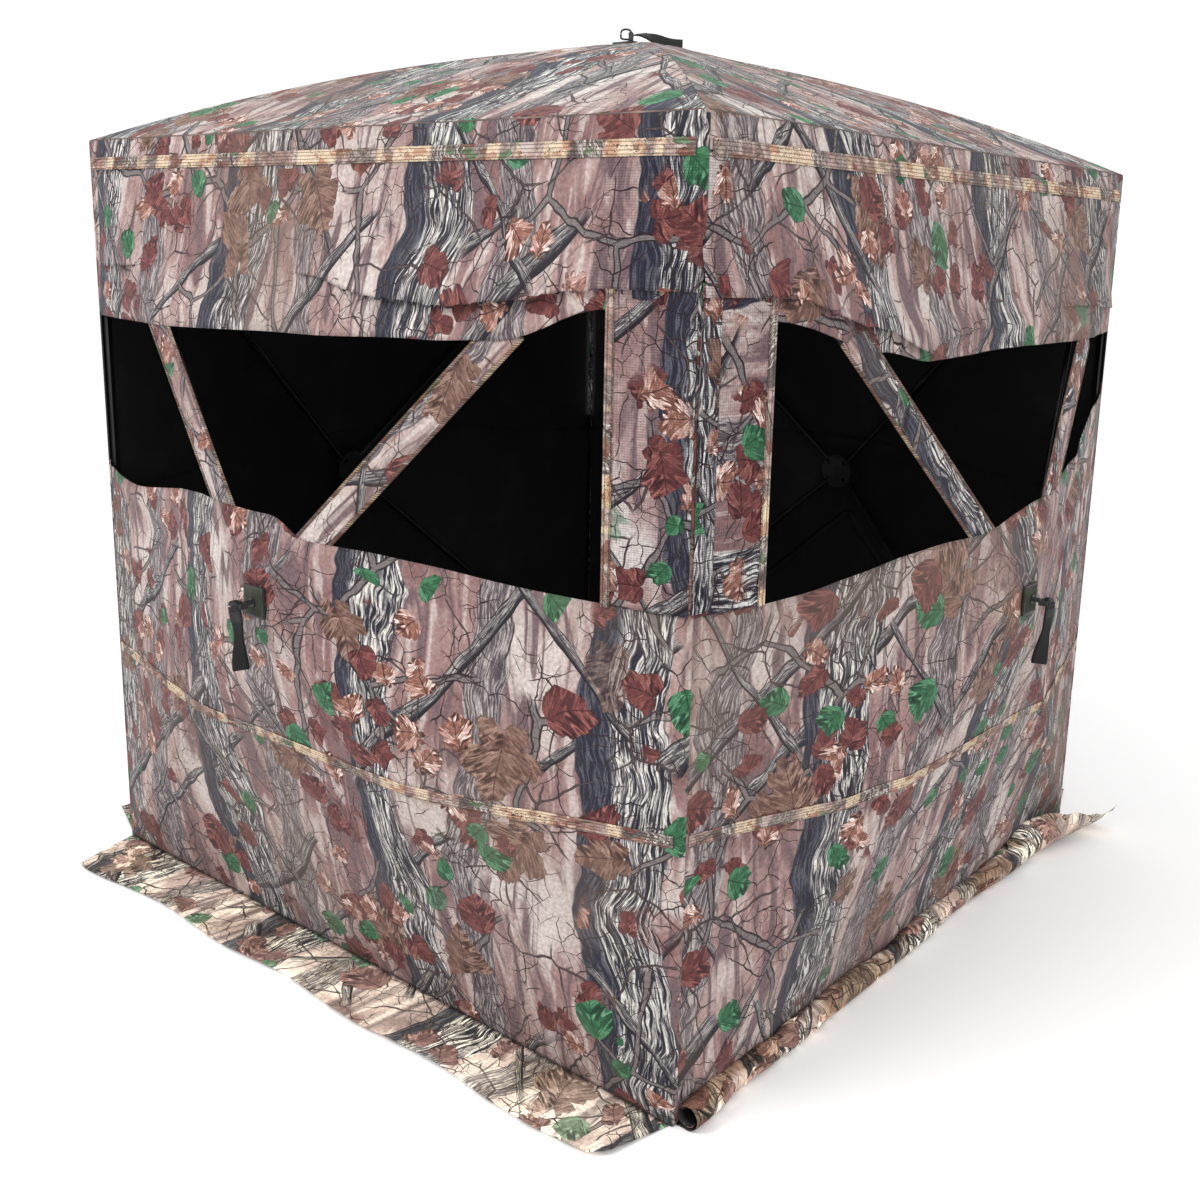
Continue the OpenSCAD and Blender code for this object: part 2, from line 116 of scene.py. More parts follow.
# Drawn-in folds of the hung cloth: wall, from (u, v), to (u, v), half width, height
CREASES = (
    (0, (-0.72, 0.80), (-0.10, 0.74), 0.020, 0.007),
    (0, (-0.66, 0.70), (-0.25, 0.77), 0.016, -0.005),
    (0, (-0.15, 0.72), (-0.60, 0.30), 0.030, 0.005),
    (0, (0.12, 0.70), (0.60, 0.36), 0.028, 0.006),
    (0, (0.05, 0.64), (0.22, 0.20), 0.022, -0.004),
    (0, (-0.40, 0.10), (0.30, 0.05), 0.020, 0.005),
    (0, (-0.60, 1.20), (-0.10, 1.26), 0.022, 0.005),
    (0, (0.10, 1.28), (0.60, 1.36), 0.024, -0.005),
    (1, (-0.66, 0.74), (-0.20, 0.78), 0.020, 0.006),
    (1, (-0.12, 0.70), (-0.62, 0.30), 0.028, 0.006),
    (1, (0.14, 0.74), (0.62, 0.84), 0.022, 0.010),
    (1, (0.30, 0.80), (0.66, 0.90), 0.014, -0.008),
    (1, (0.20, 0.66), (0.66, 0.30), 0.030, -0.006),
    (1, (0.05, 0.60), (0.10, 0.12), 0.022, 0.004),
    (1, (-0.10, 1.17), (0.62, 1.20), 0.022, 0.006),
    (2, (-0.60, 0.74), (-0.14, 0.72), 0.022, 0.006),
    (2, (0.14, 0.72), (0.62, 0.40), 0.030, 0.005),
    (2, (-0.14, 0.64), (-0.58, 0.22), 0.026, -0.005),
    (3, (-0.62, 0.72), (-0.16, 0.76), 0.022, 0.006),
    (3, (0.14, 0.68), (0.62, 0.28), 0.030, 0.006),
    (3, (-0.20, 0.60), (-0.52, 0.16), 0.026, -0.005),
)


def shares(u, v):
    """How far into the wall a point lies from each of its four edges, the hub being 1."""
    return {
        "bottom": v / HUB_H,
        "top": (EAVE_H - v) / (EAVE_H - HUB_H),
        "left": (HALF_W + u) / HALF_W,
        "right": (HALF_W - u) / HALF_W,
    }


def pyramid(u, v):
    """The wall's bulge, with the cloth lying softly over the rim of the hub's disc."""
    rim = math.hypot(u, v - HUB_H) - 0.052
    return BULGE * max(0.0, min(shares(u, v).values())) + 0.0062 * math.exp(-((rim / 0.03) ** 2))


def quarter(w, size=3):
    """The turn that brings the front wall's place to wall w."""
    return Matrix.Rotation(math.radians(90 * w), size, "Z")


def on_wall(w, u, v, out):
    """The point of wall w at u across, v up and out from its upright plane."""
    across = quarter(w) @ Vector((u, -(HALF_W + out), 0))
    return Vector((across.x, across.y, v))


def seam_distance(u, v):
    """Distance from the nearest diagonal seam, roughly, in metres."""
    s = sorted(shares(u, v).values())
    return (s[1] - s[0]) * HALF_W * 0.7


def crease_at(w, u, v):
    """The height of all drawn-in folds at one point of wall w."""
    total = 0.0
    p = Vector((u, v))
    for wall, a, b, width, height in CREASES:
        if wall != w:
            continue
        a, b = Vector(a), Vector(b)
        along = b - a
        t = (p - a).dot(along) / along.length_squared
        if not 0 < t < 1:
            continue
        off = (p - a - t * along).length
        total += height * math.exp(-((off / width) ** 2)) * math.sin(math.pi * t)
    return total


def ruffle(w, u, v):
    """The soft roll of the window's two hems, and small gathers that run out from them."""
    over, under = v - WINDOW_TOP[w](u), WINDOW_LOW[w](u) - v
    full = 0.75 + 0.6 * noise.noise(Vector((u * 5 + 4 * w, 2.5, 1.7)))
    if over > -0.001:
        roll = 0.010 * full * math.exp(-(((over - 0.034) / 0.026) ** 2))
        gathers = 0.0045 * noise.noise(Vector((u * 17 + 8 * w - over * 6, over * 26, 7.1)))
        return roll + gathers * math.exp(-((over / 0.06) ** 2))
    if under > -0.001:
        roll = 0.005 * full * math.exp(-(((under - 0.022) / 0.018) ** 2))
        gathers = 0.0042 * noise.noise(Vector((u * 12 + 3 * w + under * 9, under * 20, 9.4)))
        return roll + gathers * math.exp(-((under / 0.07) ** 2))
    return 0.0


def slack(w, u, v):
    """How the hung cloth leaves the flat facets: (out, up)."""
    hub = math.hypot(u, v - HUB_H)
    calm = blend_in(hub, 0.05, 0.22) * blend_in(HALF_W - abs(u), -0.01, 0.09)
    calm *= blend_in(v, -0.01, 0.08) * blend_in(EAVE_H - v, 0.0, 0.1)
    seam = 0.25 + 0.75 * blend_in(seam_distance(u, v), 0.0, 0.05)
    soft = noise.noise(Vector((u * 2.6 + 9 * w, v * 2.2, 0.3))) * 0.006
    fine = noise.noise(Vector((u * 9 + 5 * w, v * 6, 2.3))) * 0.0022
    out = calm * seam * (soft + fine + crease_at(w, u, v) + ruffle(w, u, v))
    depth = FOLD_DEPTH[w](u)
    t = v - FOLD_LINE[w](u)
    if depth <= 0 or t < -0.05:
        return out, 0.0
    if t >= 0:
        out += depth * math.exp(-((t / 0.05) ** 2))
        return out, -0.7 * depth * math.exp(-((t / 0.018) ** 2))
    out -= 0.15 * depth
    return out, 0.7 * depth * math.exp(-((t / 0.010) ** 2))


# ---------------------------------------------------------------- meshes


def mesh_piece(name, verts, faces, prints, materials, kinds=None, hems=None):
    """An object whose vertices carry their place on the flat cloth as the attribute print."""
    data = bpy.data.meshes.new(name)
    data.from_pydata(verts, [], faces)
    at = data.attributes.new("print", "FLOAT_VECTOR", "POINT")
    at.data.foreach_set("vector", [c for p in prints for c in (p[0], p[1], 0.0)])
    hem = data.attributes.new("hem", "FLOAT", "POINT")
    hem.data.foreach_set("value", hems or [1.0] * len(verts))
    for m in materials:
        data.materials.append(m)
    if kinds:
        data.polygons.foreach_set("material_index", kinds)
    data.shade_smooth()
    data.update()
    obj = bpy.data.objects.new(name, data)
    bpy.context.scene.collection.objects.link(obj)
    return obj


def grid_faces(rows, columns):
    """The quads over a grid of points stored row by row."""
    n = columns + 1
    corners = (j * n + i for j in range(rows) for i in range(columns))
    return [(a, a + 1, a + n + 1, a + n) for a in corners]


def flipped(quads):
    """The same faces looking the other way."""
    return [q[::-1] for q in quads]


def thicken(obj, depth, inner=0, rim=0, offset=-1.0):
    """Gives a surface its thickness; inner and rim pick the materials of its back and edge."""
    mod = obj.modifiers.new("thickness", "SOLIDIFY")
    mod.thickness = depth
    mod.offset = offset
    mod.use_even_offset = False
    mod.material_offset = inner
    mod.material_offset_rim = rim
    return obj


def cut_line(bm, a, b, chosen):
    """Cuts the chosen faces of a flat grid along the line from a to b."""
    faces = [f for f in bm.faces if chosen(f.calc_center_median())]
    edges = {e for f in faces for e in f.edges}
    verts = {v for f in faces for v in f.verts}
    d = Vector(b) - Vector(a)
    bmesh.ops.bisect_plane(
        bm,
        geom=list(verts) + list(edges) + faces,
        dist=1e-6,
        plane_co=(a[0], a[1], 0),
        plane_no=(-d.y, d.x, 0),
    )


def door_corners(grow):
    """The door's three corners on the back wall, moved outwards by grow."""
    low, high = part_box("door_flap")
    slope = HUB_H / HALF_W
    left, right, sill = -high.x, -low.x, low.z
    side = grow * math.hypot(1, slope)
    sill -= grow
    left -= (grow + side) / slope
    right += (grow + side) / slope
    half = (right - left) / 2
    return [Vector((left, sill)), Vector((right, sill)), Vector((left + half, sill + half * slope))]


def inside(corners, u, v):
    """Whether (u, v) lies in the polygon, whose corners run anticlockwise."""
    p = Vector((u, v))
    for a, b in zip(corners, corners[1:] + corners[:1]):
        d, q = b - a, p - a
        if d.x * q.y - d.y * q.x < 0:
            return False
    return True


def facet_of(w, u, v):
    """The body a point of wall w belongs to, or None in the gap round the door."""
    if w == 2 and inside(door_corners(0), u, v):
        return "door_flap"
    if w == 2 and inside(door_corners(DOOR_GAP), u, v):
        return None
    s = shares(u, v)
    return f"wall_{WALLS[w]}_{min(s, key=s.get)}"


def flat_grid(rows, columns, point):
    """A bmesh grid in the flat cloth; point(i, j) gives (u, v)."""
    bm = bmesh.new()
    grid = [[bm.verts.new((*point(i, j), 0)) for i in range(columns + 1)] for j in range(rows + 1)]
    for j in range(rows):
        for i in range(columns):
            bm.faces.new((grid[j][i], grid[j][i + 1], grid[j + 1][i + 1], grid[j + 1][i]))
    return bm


def cut_to_facets(bm, w):
    """Cuts a flat grid along the wall's four diagonals, and round the door."""
    for side in (-1, 1):
        for height in (0, EAVE_H):
            cut_line(bm, (side * HALF_W, height), (0, HUB_H), lambda c, s=side: c.x * s > 0)
    if w != 2:
        return
    for grow in (0, DOOR_GAP):
        corners = door_corners(grow)
        for a, b in zip(corners, corners[1:] + corners[:1]):
            cut_line(bm, a, b, lambda c: c.y < HUB_H and shares(c.x, c.y)["bottom"] < 1)


def gather(bm, w, store, lift=0.0, kind=lambda u, v: 0, calm=1.0, origin=None, reach=HALF_W):
    """Adds each facet's faces to store[body] as (vertices, faces, prints, kinds, hems).

    Nothing is added round the hub's bolt, or farther than reach from the wall's middle.
    """
    known = {}
    for f in bm.faces:
        c = f.calc_center_median()
        body = facet_of(w, c.x, c.y)
        if body is None or abs(c.x) > reach or math.hypot(c.x, c.y - HUB_H) < BOLT_HOLE:
            continue
        verts, faces, prints, kinds, hems = store.setdefault(body, ([], [], [], [], []))
        corners = []
        for v in f.verts:
            key = (body, v)
            if key not in known:
                known[key] = len(verts)
                out, up = slack(w, v.co.x, v.co.y)
                place = pyramid(v.co.x, v.co.y) + calm * out + lift
                verts.append(on_wall(w, v.co.x, v.co.y + calm * up, place))
                base = (v.co.x + PRINT_STEP * w, v.co.y)
                prints.append(base if origin is None else origin(v.co.x, v.co.y))
                hems.append(seam_distance(v.co.x, v.co.y))
            corners.append(known[key])
        faces.append(corners)
        kinds.append(kind(c.x, c.y))


def facet_pieces(store, prefix, materials, slot_name, depth, has_hems=True, **how):
    """Makes one thickened object for each facet in store, as {body: (object, prints)}."""
    made = {}
    for body, (verts, faces, prints, kinds, hems) in store.items():
        hems = hems if has_hems else None
        kinds = kinds if len(materials) > 2 else None
        obj = mesh_piece(prefix + body, verts, faces, prints, materials, kinds, hems)
        thicken(obj, depth, **how)
        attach(obj, body)
        made[body] = (obj, prints)
    return made


def flat_size(prints):
    us, vs = [p[0] for p in prints], [p[1] for p in prints]
    return max(us) - min(us), max(vs) - min(vs)


def declare_sheet(obj, prints):
    w, l = flat_size(prints)
    l *= math.hypot(1, BULGE / HUB_H)
    area = sum(p.area for p in obj.data.polygons)
    w, l = round(min(w, area / (0.31 * l)), 3), round(l, 3)


# ---------------------------------------------------------------- materials


def feed(tree, socket, value):
    if isinstance(value, bpy.types.NodeSocket):
        tree.links.new(value, socket)
    else:
        socket.default_value = value


def colour(r, g, b):
    """A linear colour from the 0-255 values seen on a screen."""
    return tuple(((c / 255 + 0.055) / 1.055) ** 2.4 for c in (r, g, b)) + (1.0,)


class Print:
    """Short names for the shader nodes of one tree."""

    def __init__(self, tree):
        self.tree = tree

    def node(self, kind, inputs=None, **settings):
        n = self.tree.nodes.new("ShaderNode" + kind)
        for key, value in settings.items():
            setattr(n, key, value)
        for key, value in (inputs or {}).items():
            feed(self.tree, n.inputs[key], value)
        return n

    def calc(self, op, *values):
        n = self.node("Math", operation=op)
        for i, value in enumerate(values):
            feed(self.tree, n.inputs[i], value)
        return n.outputs[0]

    def step(self, value, low, high):
        """0 at low and 1 at high, with a smooth edge; low may be above high."""
        n = self.node(
            "MapRange", {"Value": value, "From Min": low, "From Max": high},
            interpolation_type="SMOOTHSTEP",
        )
        return n.outputs[0]

    def mix(self, share, a, b, blend="MIX"):
        n = self.node("Mix", data_type="RGBA", blend_type=blend)
        feed(self.tree, n.inputs[0], share)
        feed(self.tree, n.inputs[6], a)
        feed(self.tree, n.inputs[7], b)
        return n.outputs[2]

    def split(self, vector):
        n = self.node("SeparateXYZ", {"Vector": vector})
        return n.outputs[0], n.outputs[1], n.outputs[2]

    def join(self, x, y, z=0.0):
        return self.node("CombineXYZ", {"X": x, "Y": y, "Z": z}).outputs[0]

    def stretched(self, x, y, along, up):
        """A flat vector with its two parts scaled apart."""
        return self.join(self.times(x, along), self.times(y, up))

    def vec(self, op, *values):
        n = self.node("VectorMath", operation=op)
        for i, value in enumerate(values):
            feed(self.tree, n.inputs[i], value)
        return n.outputs[0]

    def noise(self, vector, scale=1.0, detail=2.0, warp=0.0, rough=0.5):
        n = self.node(
            "TexNoise",
            {"Vector": vector, "Scale": scale, "Detail": detail, "Distortion": warp, "Roughness": rough},
            noise_dimensions="2D",
        )
        return n.outputs[0]

    def drift(self, vector, scale, amount):
        """The vector, carried about by a soft noise."""
        n = self.node("TexNoise", {"Vector": vector, "Scale": scale, "Detail": 2.0}, noise_dimensions="2D")
        moved = self.vec("SUBTRACT", n.outputs[1], (0.5, 0.5, 0.5))
        scaled = self.node("VectorMath", {"Vector": moved, "Scale": amount}, operation="SCALE")
        return self.vec("ADD", vector, scaled.outputs[0])

    def cells(self, vector, scale, feature="F1"):
        return self.node(
            "TexVoronoi", {"Vector": vector, "Scale": scale},
            voronoi_dimensions="2D", feature=feature,
        )

    def ramp(self, value, *stops):
        n = self.node("ValToRGB", {"Fac": value})
        bar = n.color_ramp
        while len(bar.elements) < len(stops):
            bar.elements.new(0.5)
        for element, (place, paint) in zip(bar.elements, stops):
            element.position = place
            element.color = paint
        return n.outputs[0]

    def times(self, *values):
        """The product of several values."""
        total = values[0]
        for v in values[1:]:
            total = self.calc("MULTIPLY", total, v)
        return total

    def scaled(self, value, by, plus):
        return self.calc("MULTIPLY_ADD", value, by, plus)

    def size(self, value):
        return self.calc("ABSOLUTE", value)

    def less(self, value, limit, soft):
        """1 where value is below limit."""
        n = self.calc("SUBTRACT", value, limit)
        return self.step(n, soft, -soft)


TILE = 0.46


def bark(p, across, up, fine):
    """Long furrowed streaks: pale ridges with slate cracks."""
    spot = p.stretched(across, up, 230 * fine, 20 * fine)
    streak = p.noise(spot, 1.0, 4.0, 0.7, 0.62)
    return p.ramp(
        streak,
        (0.42, colour(60, 58, 68)),
        (0.49, colour(104, 97, 100)),
        (0.54, colour(158, 148, 144)),
        (0.62, colour(196, 186, 179)),
    )


def trunk(p, u, v, offset, half, sway, phase):
    """(mask, place across from -1 to 1, distance across) of an upright trunk that repeats."""
    lean = p.times(p.calc("SINE", p.scaled(v, 3.4, phase)), sway)
    spot = p.join(u, v)
    wobble = p.times(p.calc("SUBTRACT", p.noise(spot, 5.0, 3.0), 0.5), 0.09)
    across = p.calc("ADD", p.calc("ADD", u, offset), p.calc("ADD", lean, wobble))
    tile = p.calc("SUBTRACT", p.calc("FRACT", p.calc("DIVIDE", across, TILE)), 0.5)
    metres = p.times(tile, TILE)
    width = p.scaled(p.noise(spot, 3.0, 1.0), half * 0.9, half * 0.55)
    place = p.calc("DIVIDE", metres, width)
    edge = p.size(place)
    return p.step(edge, 1.02, 0.97), place, across


def lines(p, spot, scale, half, gate, ground, dark, light):
    """Thin branching lines along the edges of noise-bent cells."""
    d = p.calc("DIVIDE", p.cells(spot, scale, "DISTANCE_TO_EDGE").outputs["Distance"], scale)
    mask = p.times(p.step(d, half * 1.15, half * 0.85), gate)
    paint = p.mix(p.step(d, half * 0.45, half * 0.8), light, dark)
    return p.mix(mask, ground, paint)


def gate_of(p, spot, shift, scale, low, high):
    """Where a layer of the print shows."""
    return p.step(p.noise(p.vec("ADD", spot, shift), scale, 1.0), low, high)


def leaves(p, spot, scale, size, keep, shape, gate, ground, paints):
    """One leaf to a cell of the cloth; shape is (round part, long part, lobed part, lobes)."""
    plump, long, lobed, lobes = shape
    cell = p.cells(spot, scale)
    local = p.vec("SUBTRACT", spot, cell.outputs["Position"])
    x, y, _ = p.split(local)
    lot, turn, third = p.split(cell.outputs["Color"])
    angle = p.calc("ADD", p.calc("ARCTAN2", y, x), p.times(turn, TURN))
    r = p.node("VectorMath", {"Vector": local}, operation="LENGTH").outputs["Value"]
    stretch = p.calc("POWER", p.scaled(p.calc("COSINE", angle), 0.5, 0.5), 2.6)
    reach = p.scaled(stretch, long, plump)
    if lobed:
        wave = p.size(p.calc("COSINE", p.times(angle, lobes)))
        reach = p.scaled(p.calc("POWER", wave, 0.7), lobed, reach)
    rag = p.scaled(p.noise(spot, 48.0, 3.0), 0.7, 0.65)
    reach = p.times(reach, rag, p.scaled(third, size * 0.6, size * 0.7))
    here = p.times(p.less(r, reach, 0.0008), p.step(lot, 1 - keep, 1.02 - keep), gate)
    fold = p.step(p.calc("SINE", angle), -0.15, 0.15)
    forward = p.times(p.calc("COSINE", angle), r)
    rib = p.size(p.times(p.calc("SINE", angle), r))
    vein = p.scaled(rib, -0.8, forward)
    streak = p.noise(p.stretched(vein, rib, 115.0, 48.0), 1.0, 4.0, 0.9)
    paint = p.ramp(streak, (0.34, paints[0]), (0.52, paints[1]), (0.68, paints[2]))
    paint = p.mix(p.times(fold, 0.45), paint, paints[1])
    paint = p.mix(p.times(p.step(rib, 0.0013, 0.0006), 0.75), paint, paints[0])
    rim = p.step(p.calc("SUBTRACT", reach, r), 0.0018, 0.0004)
    paint = p.mix(p.times(rim, 0.6), paint, paints[0])
    return p.mix(here, ground, paint)


def ground_of(p, u, v, soft):
    """The mottled mauve ground with its faint upright streaks and paler outlines."""
    paint = p.ramp(
        p.noise(soft, 4.6, 3.0),
        (0.34, colour(140, 113, 110)),
        (0.46, colour(158, 133, 128)),
        (0.56, colour(168, 148, 142)),
        (0.70, colour(184, 170, 164)),
    )
    haze = p.noise(p.stretched(u, v, 34, 6), 1.0, 4.0, 0.8)
    paint = p.mix(p.step(haze, 0.5, 0.66), paint, colour(128, 108, 108))
    paint = p.mix(p.times(p.step(haze, 0.47, 0.34), 0.7), paint, colour(186, 172, 166))
    return paint


def limb(p, paint, flow, u, offset, half, phase, gate, fine):
    """A leaning branch with a dark under side."""
    mask, place, across = trunk(p, flow, u, offset, half, 0.06, phase)
    wood = p.mix(0.35, bark(p, across, u, fine), colour(116, 106, 104))
    wood = p.mix(p.step(place, -0.1, -0.7), wood, colour(62, 56, 62))
    wood = p.mix(p.step(p.size(place), 0.84, 0.95), wood, colour(58, 50, 54))
    return p.mix(p.times(mask, gate), paint, wood)


def twigs(p, paint, spot, soft):
    """Forked branches, twigs and a tangle of fine ones."""
    dark, fine = colour(62, 50, 53), colour(74, 59, 60)
    bent = p.drift(soft, 14.0, 0.024)
    gate = gate_of(p, spot, (9.0, 1.0, 0.0), 3.4, 0.44, 0.48)
    paint = lines(p, bent, 4.4, 0.0056, gate, paint, dark, colour(132, 121, 118))
    gate = gate_of(p, spot, (3.0, 7.0, 0.0), 8.0, 0.42, 0.5)
    paint = lines(p, bent, 9.0, 0.0017, gate, paint, dark, colour(104, 90, 88))
    tangle = p.drift(p.drift(spot, 9.0, 0.04), 24.0, 0.018)
    gate = gate_of(p, spot, (1.0, 5.0, 0.0), 10.0, 0.46, 0.52)
    paint = lines(p, tangle, 17.0, 0.0009, gate, paint, fine, fine)
    gate = gate_of(p, spot, (6.0, 3.0, 0.0), 9.0, 0.5, 0.56)
    return lines(p, tangle, 34.0, 0.0006, gate, paint, fine, fine)


def foliage(p, paint, spot, soft):
    """Fallen leaves: broad brown ones, maroon and orange clusters, and green single ones."""
    brown = (colour(92, 68, 62), colour(134, 108, 98), colour(166, 142, 130))
    maroon = (colour(84, 54, 56), colour(122, 80, 78), colour(158, 116, 108))
    curled = (colour(80, 58, 54), colour(152, 114, 102), colour(222, 204, 196))
    green = (colour(54, 78, 63), colour(80, 116, 90), colour(128, 154, 130))
    maple, oval, blade = (0.36, 0.34, 0.34, 2.5), (0.5, 0.4, 0.0, 1), (0.12, 1.2, 0.0, 1)
    clump = gate_of(p, spot, (2.0, 8.0, 0.0), 3.0, 0.46, 0.5)
    paint = leaves(p, soft, 6.0, 0.068, 0.26, maple, 1.0, paint, brown)
    moved = p.drift(p.vec("ADD", spot, (0.37, 0.21, 0.0)), 9.0, 0.03)
    paint = leaves(p, moved, 13.0, 0.036, 0.46, (0.3, 0.6, 0.35, 1.5), clump, paint, maroon)
    aside = p.drift(p.vec("ADD", spot, (0.81, 0.63, 0.0)), 16.0, 0.02)
    paint = leaves(p, aside, 15.0, 0.036, 0.3, (0.2, 0.8, 0.3, 3.5), clump, paint, curled)
    paint = leaves(p, p.vec("ADD", soft, (0.11, 0.47, 0.0)), 9.0, 0.027, 0.12, oval, 1.0, paint, green)
    paint = leaves(p, p.vec("ADD", soft, (0.31, 0.17, 0.0)), 9.5, 0.04, 0.16, blade, 1.0, paint, green)
    return leaves(p, p.vec("ADD", soft, (0.71, 0.13, 0.0)), 8.0, 0.05, 0.2, blade, 1.0, paint, maroon)


def camo_group():
    """The woodland print: mottled ground, trunks, limbs, twigs and leaves, in metres of cloth."""
    tree = bpy.data.node_groups.new("woodland_print", "ShaderNodeTree")
    tree.interface.new_socket(name="Print", in_out="INPUT", socket_type="NodeSocketVector")
    tree.interface.new_socket(name="Color", in_out="OUTPUT", socket_type="NodeSocketColor")
    p = Print(tree)
    source = tree.nodes.new("NodeGroupInput")
    spot = source.outputs[0]
    u, v, _ = p.split(spot)
    soft = p.drift(spot, 3.5, 0.07)
    paint = ground_of(p, u, v, soft)

    mask, place, across = trunk(p, u, v, 0.27, 0.036, 0.05, 1.3)
    wood = p.mix(0.4, bark(p, across, v, 1.3), colour(124, 110, 110))
    paint = p.mix(p.times(mask, 0.85), paint, wood)

    lean = p.scaled(u, -0.9, v)
    gate = gate_of(p, spot, (0.0, 0.0, 0.0), 2.7, 0.46, 0.5)
    paint = limb(p, paint, lean, u, 0.13, 0.012, 0.4, gate, 2.0)

    mask, place, across = trunk(p, u, v, 0.0, 0.068, 0.035, 0.0)
    wood = bark(p, across, v, 0.95)
    wood = p.mix(p.times(p.step(place, -0.30, -0.5), 0.8), wood, colour(66, 65, 78))
    paint = p.mix(mask, paint, wood)

    gate = gate_of(p, spot, (4.0, 2.0, 0.0), 2.4, 0.48, 0.52)
    paint = limb(p, paint, lean, u, 0.37, 0.018, 2.0, gate, 1.7)
    back = p.scaled(u, 1.2, v)
    gate = gate_of(p, spot, (7.0, 6.0, 0.0), 2.6, 0.47, 0.51)
    paint = limb(p, paint, back, u, 0.21, 0.011, 1.1, gate, 2.0)

    paint = twigs(p, paint, spot, soft)
    paint = foliage(p, paint, spot, soft)
    grain = p.ramp(p.noise(spot, 160.0, 2.0), (0.2, (0.8, 0.8, 0.8, 1)), (0.8, (1.12, 1.12, 1.12, 1)))
    paint = p.mix(1.0, paint, grain, "MULTIPLY")
    paint = p.node("Gamma", {"Color": paint, "Gamma": 1.62}).outputs[0]
    paint = p.mix(1.0, paint, (1.65, 1.9, 2.03, 1), "MULTIPLY")
    sink = tree.nodes.new("NodeGroupOutput")
    feed(tree, sink.inputs[0], paint)
    return tree


WOODLAND = camo_group()


def new_material(name, rough, specular=0.3):
    m = bpy.data.materials.new(name)
    m.use_nodes = True
    shader = m.node_tree.nodes["Principled BSDF"]
    shader.inputs["Roughness"].default_value = rough
    shader.inputs["Specular IOR Level"].default_value = specular
    return m, Print(m.node_tree), shader


def woodland(p, spot):
    g = p.node("Group")
    g.node_tree = WOODLAND
    feed(p.tree, g.inputs[0], spot)
    return g.outputs[0]


def surface(p, shader, paint, height, depth, strength):
    """Gives a material its colour and its relief."""
    feed(p.tree, shader.inputs["Base Color"], paint)
    n = p.node("Bump", {"Height": height, "Distance": depth, "Strength": strength})
    feed(p.tree, shader.inputs["Normal"], n.outputs[0])


def cloth_height(p, spot):
    """The relief of rumpled, woven cloth."""
    return p.scaled(weave(p, spot, CLOTH_PITCH), 0.12, p.noise(spot, 36.0, 3.0, 0.6))


def attribute(p, name):
    return p.node("Attribute", attribute_name=name)


def weave(p, spot, pitch):
    """A plain weave's height, from 0 to 1."""
    u, v, _ = p.split(spot)
    across = p.calc("SINE", p.times(u, TURN / pitch))
    up = p.calc("SINE", p.times(v, TURN / pitch))
    return p.scaled(p.times(across, up), 0.5, 0.5)


def camo_cloth(name, tint, share):
    m, p, shader = new_material(name, 0.78, 0.22)
    spot = attribute(p, "print").outputs["Vector"]
    paint = woodland(p, spot)
    paint = p.mix(share, paint, tint, "MULTIPLY")
    blotch_noise = p.noise(spot, 2.0, 4.0)
    paint = p.mix(p.step(blotch_noise, 0.45, 0.8), paint, p.mix(0.35, paint, colour(120, 104, 92)))
    hem = attribute(p, "hem").outputs["Fac"]
    # painted shade: the dark line along the facet seams stands for their stitching and for the shade in
    # the crease there
    line = p.times(p.step(hem, 0.0010, 0.0003), 0.5)
    paint = p.mix(line, paint, colour(60, 50, 50))
    surface(p, shader, paint, cloth_height(p, spot), 0.0016, 0.5)
    shader.inputs["Sheen Weight"].default_value = 0.06
    return m


def pale_cloth(name, shade):
    """The skirt: the same print on cream, with brown blotches of painted fold shadow, as strong as shade.
    """
    m, p, shader = new_material(name, 0.82, 0.2)
    spot = attribute(p, "print").outputs["Vector"]
    dull = p.node("HueSaturation", {"Color": woodland(p, spot), "Saturation": 0.55}).outputs[0]
    paint = p.mix(1.0, dull, (2.55, 2.45, 2.1, 1), "MULTIPLY")
    # painted shadow: brown blotches stand in for the shade in the skirt's folds
    blotch_noise = p.noise(spot, 7.0, 4.0, 0.6)
    painted_fold_shadow = p.mix(1.0, paint, (0.42, 0.34, 0.28, 1), "MULTIPLY")
    paint = p.mix(p.times(p.step(blotch_noise, 0.5, 0.66), shade), paint, painted_fold_shadow)
    surface(p, shader, paint, cloth_height(p, spot), 0.0016, 0.5)
    return m


def mesh_cloth(name):
    """The net of the corner panels: a dark grid of holes under the print."""
    m, p, shader = new_material(name, 0.85, 0.15)
    spot = attribute(p, "print").outputs["Vector"]
    u, v, _ = p.split(spot)
    paint = woodland(p, spot)
    paint = p.mix(1.0, paint, (1.0, 1.04, 1.06, 1), "MULTIPLY")
    rows = p.size(p.calc("SINE", p.times(v, 3.1416 / 0.0036)))
    files = p.size(p.calc("SINE", p.times(u, 3.1416 / 0.0044)))
    hole = p.calc("MAXIMUM", p.step(rows, 0.42, 0.16), p.times(p.step(files, 0.36, 0.12), 0.7))
    paint = p.mix(p.times(hole, 0.42), paint, colour(58, 44, 46))
    surface(p, shader, paint, p.calc("SUBTRACT", 1.0, hole), 0.0008, 0.6)
    return m


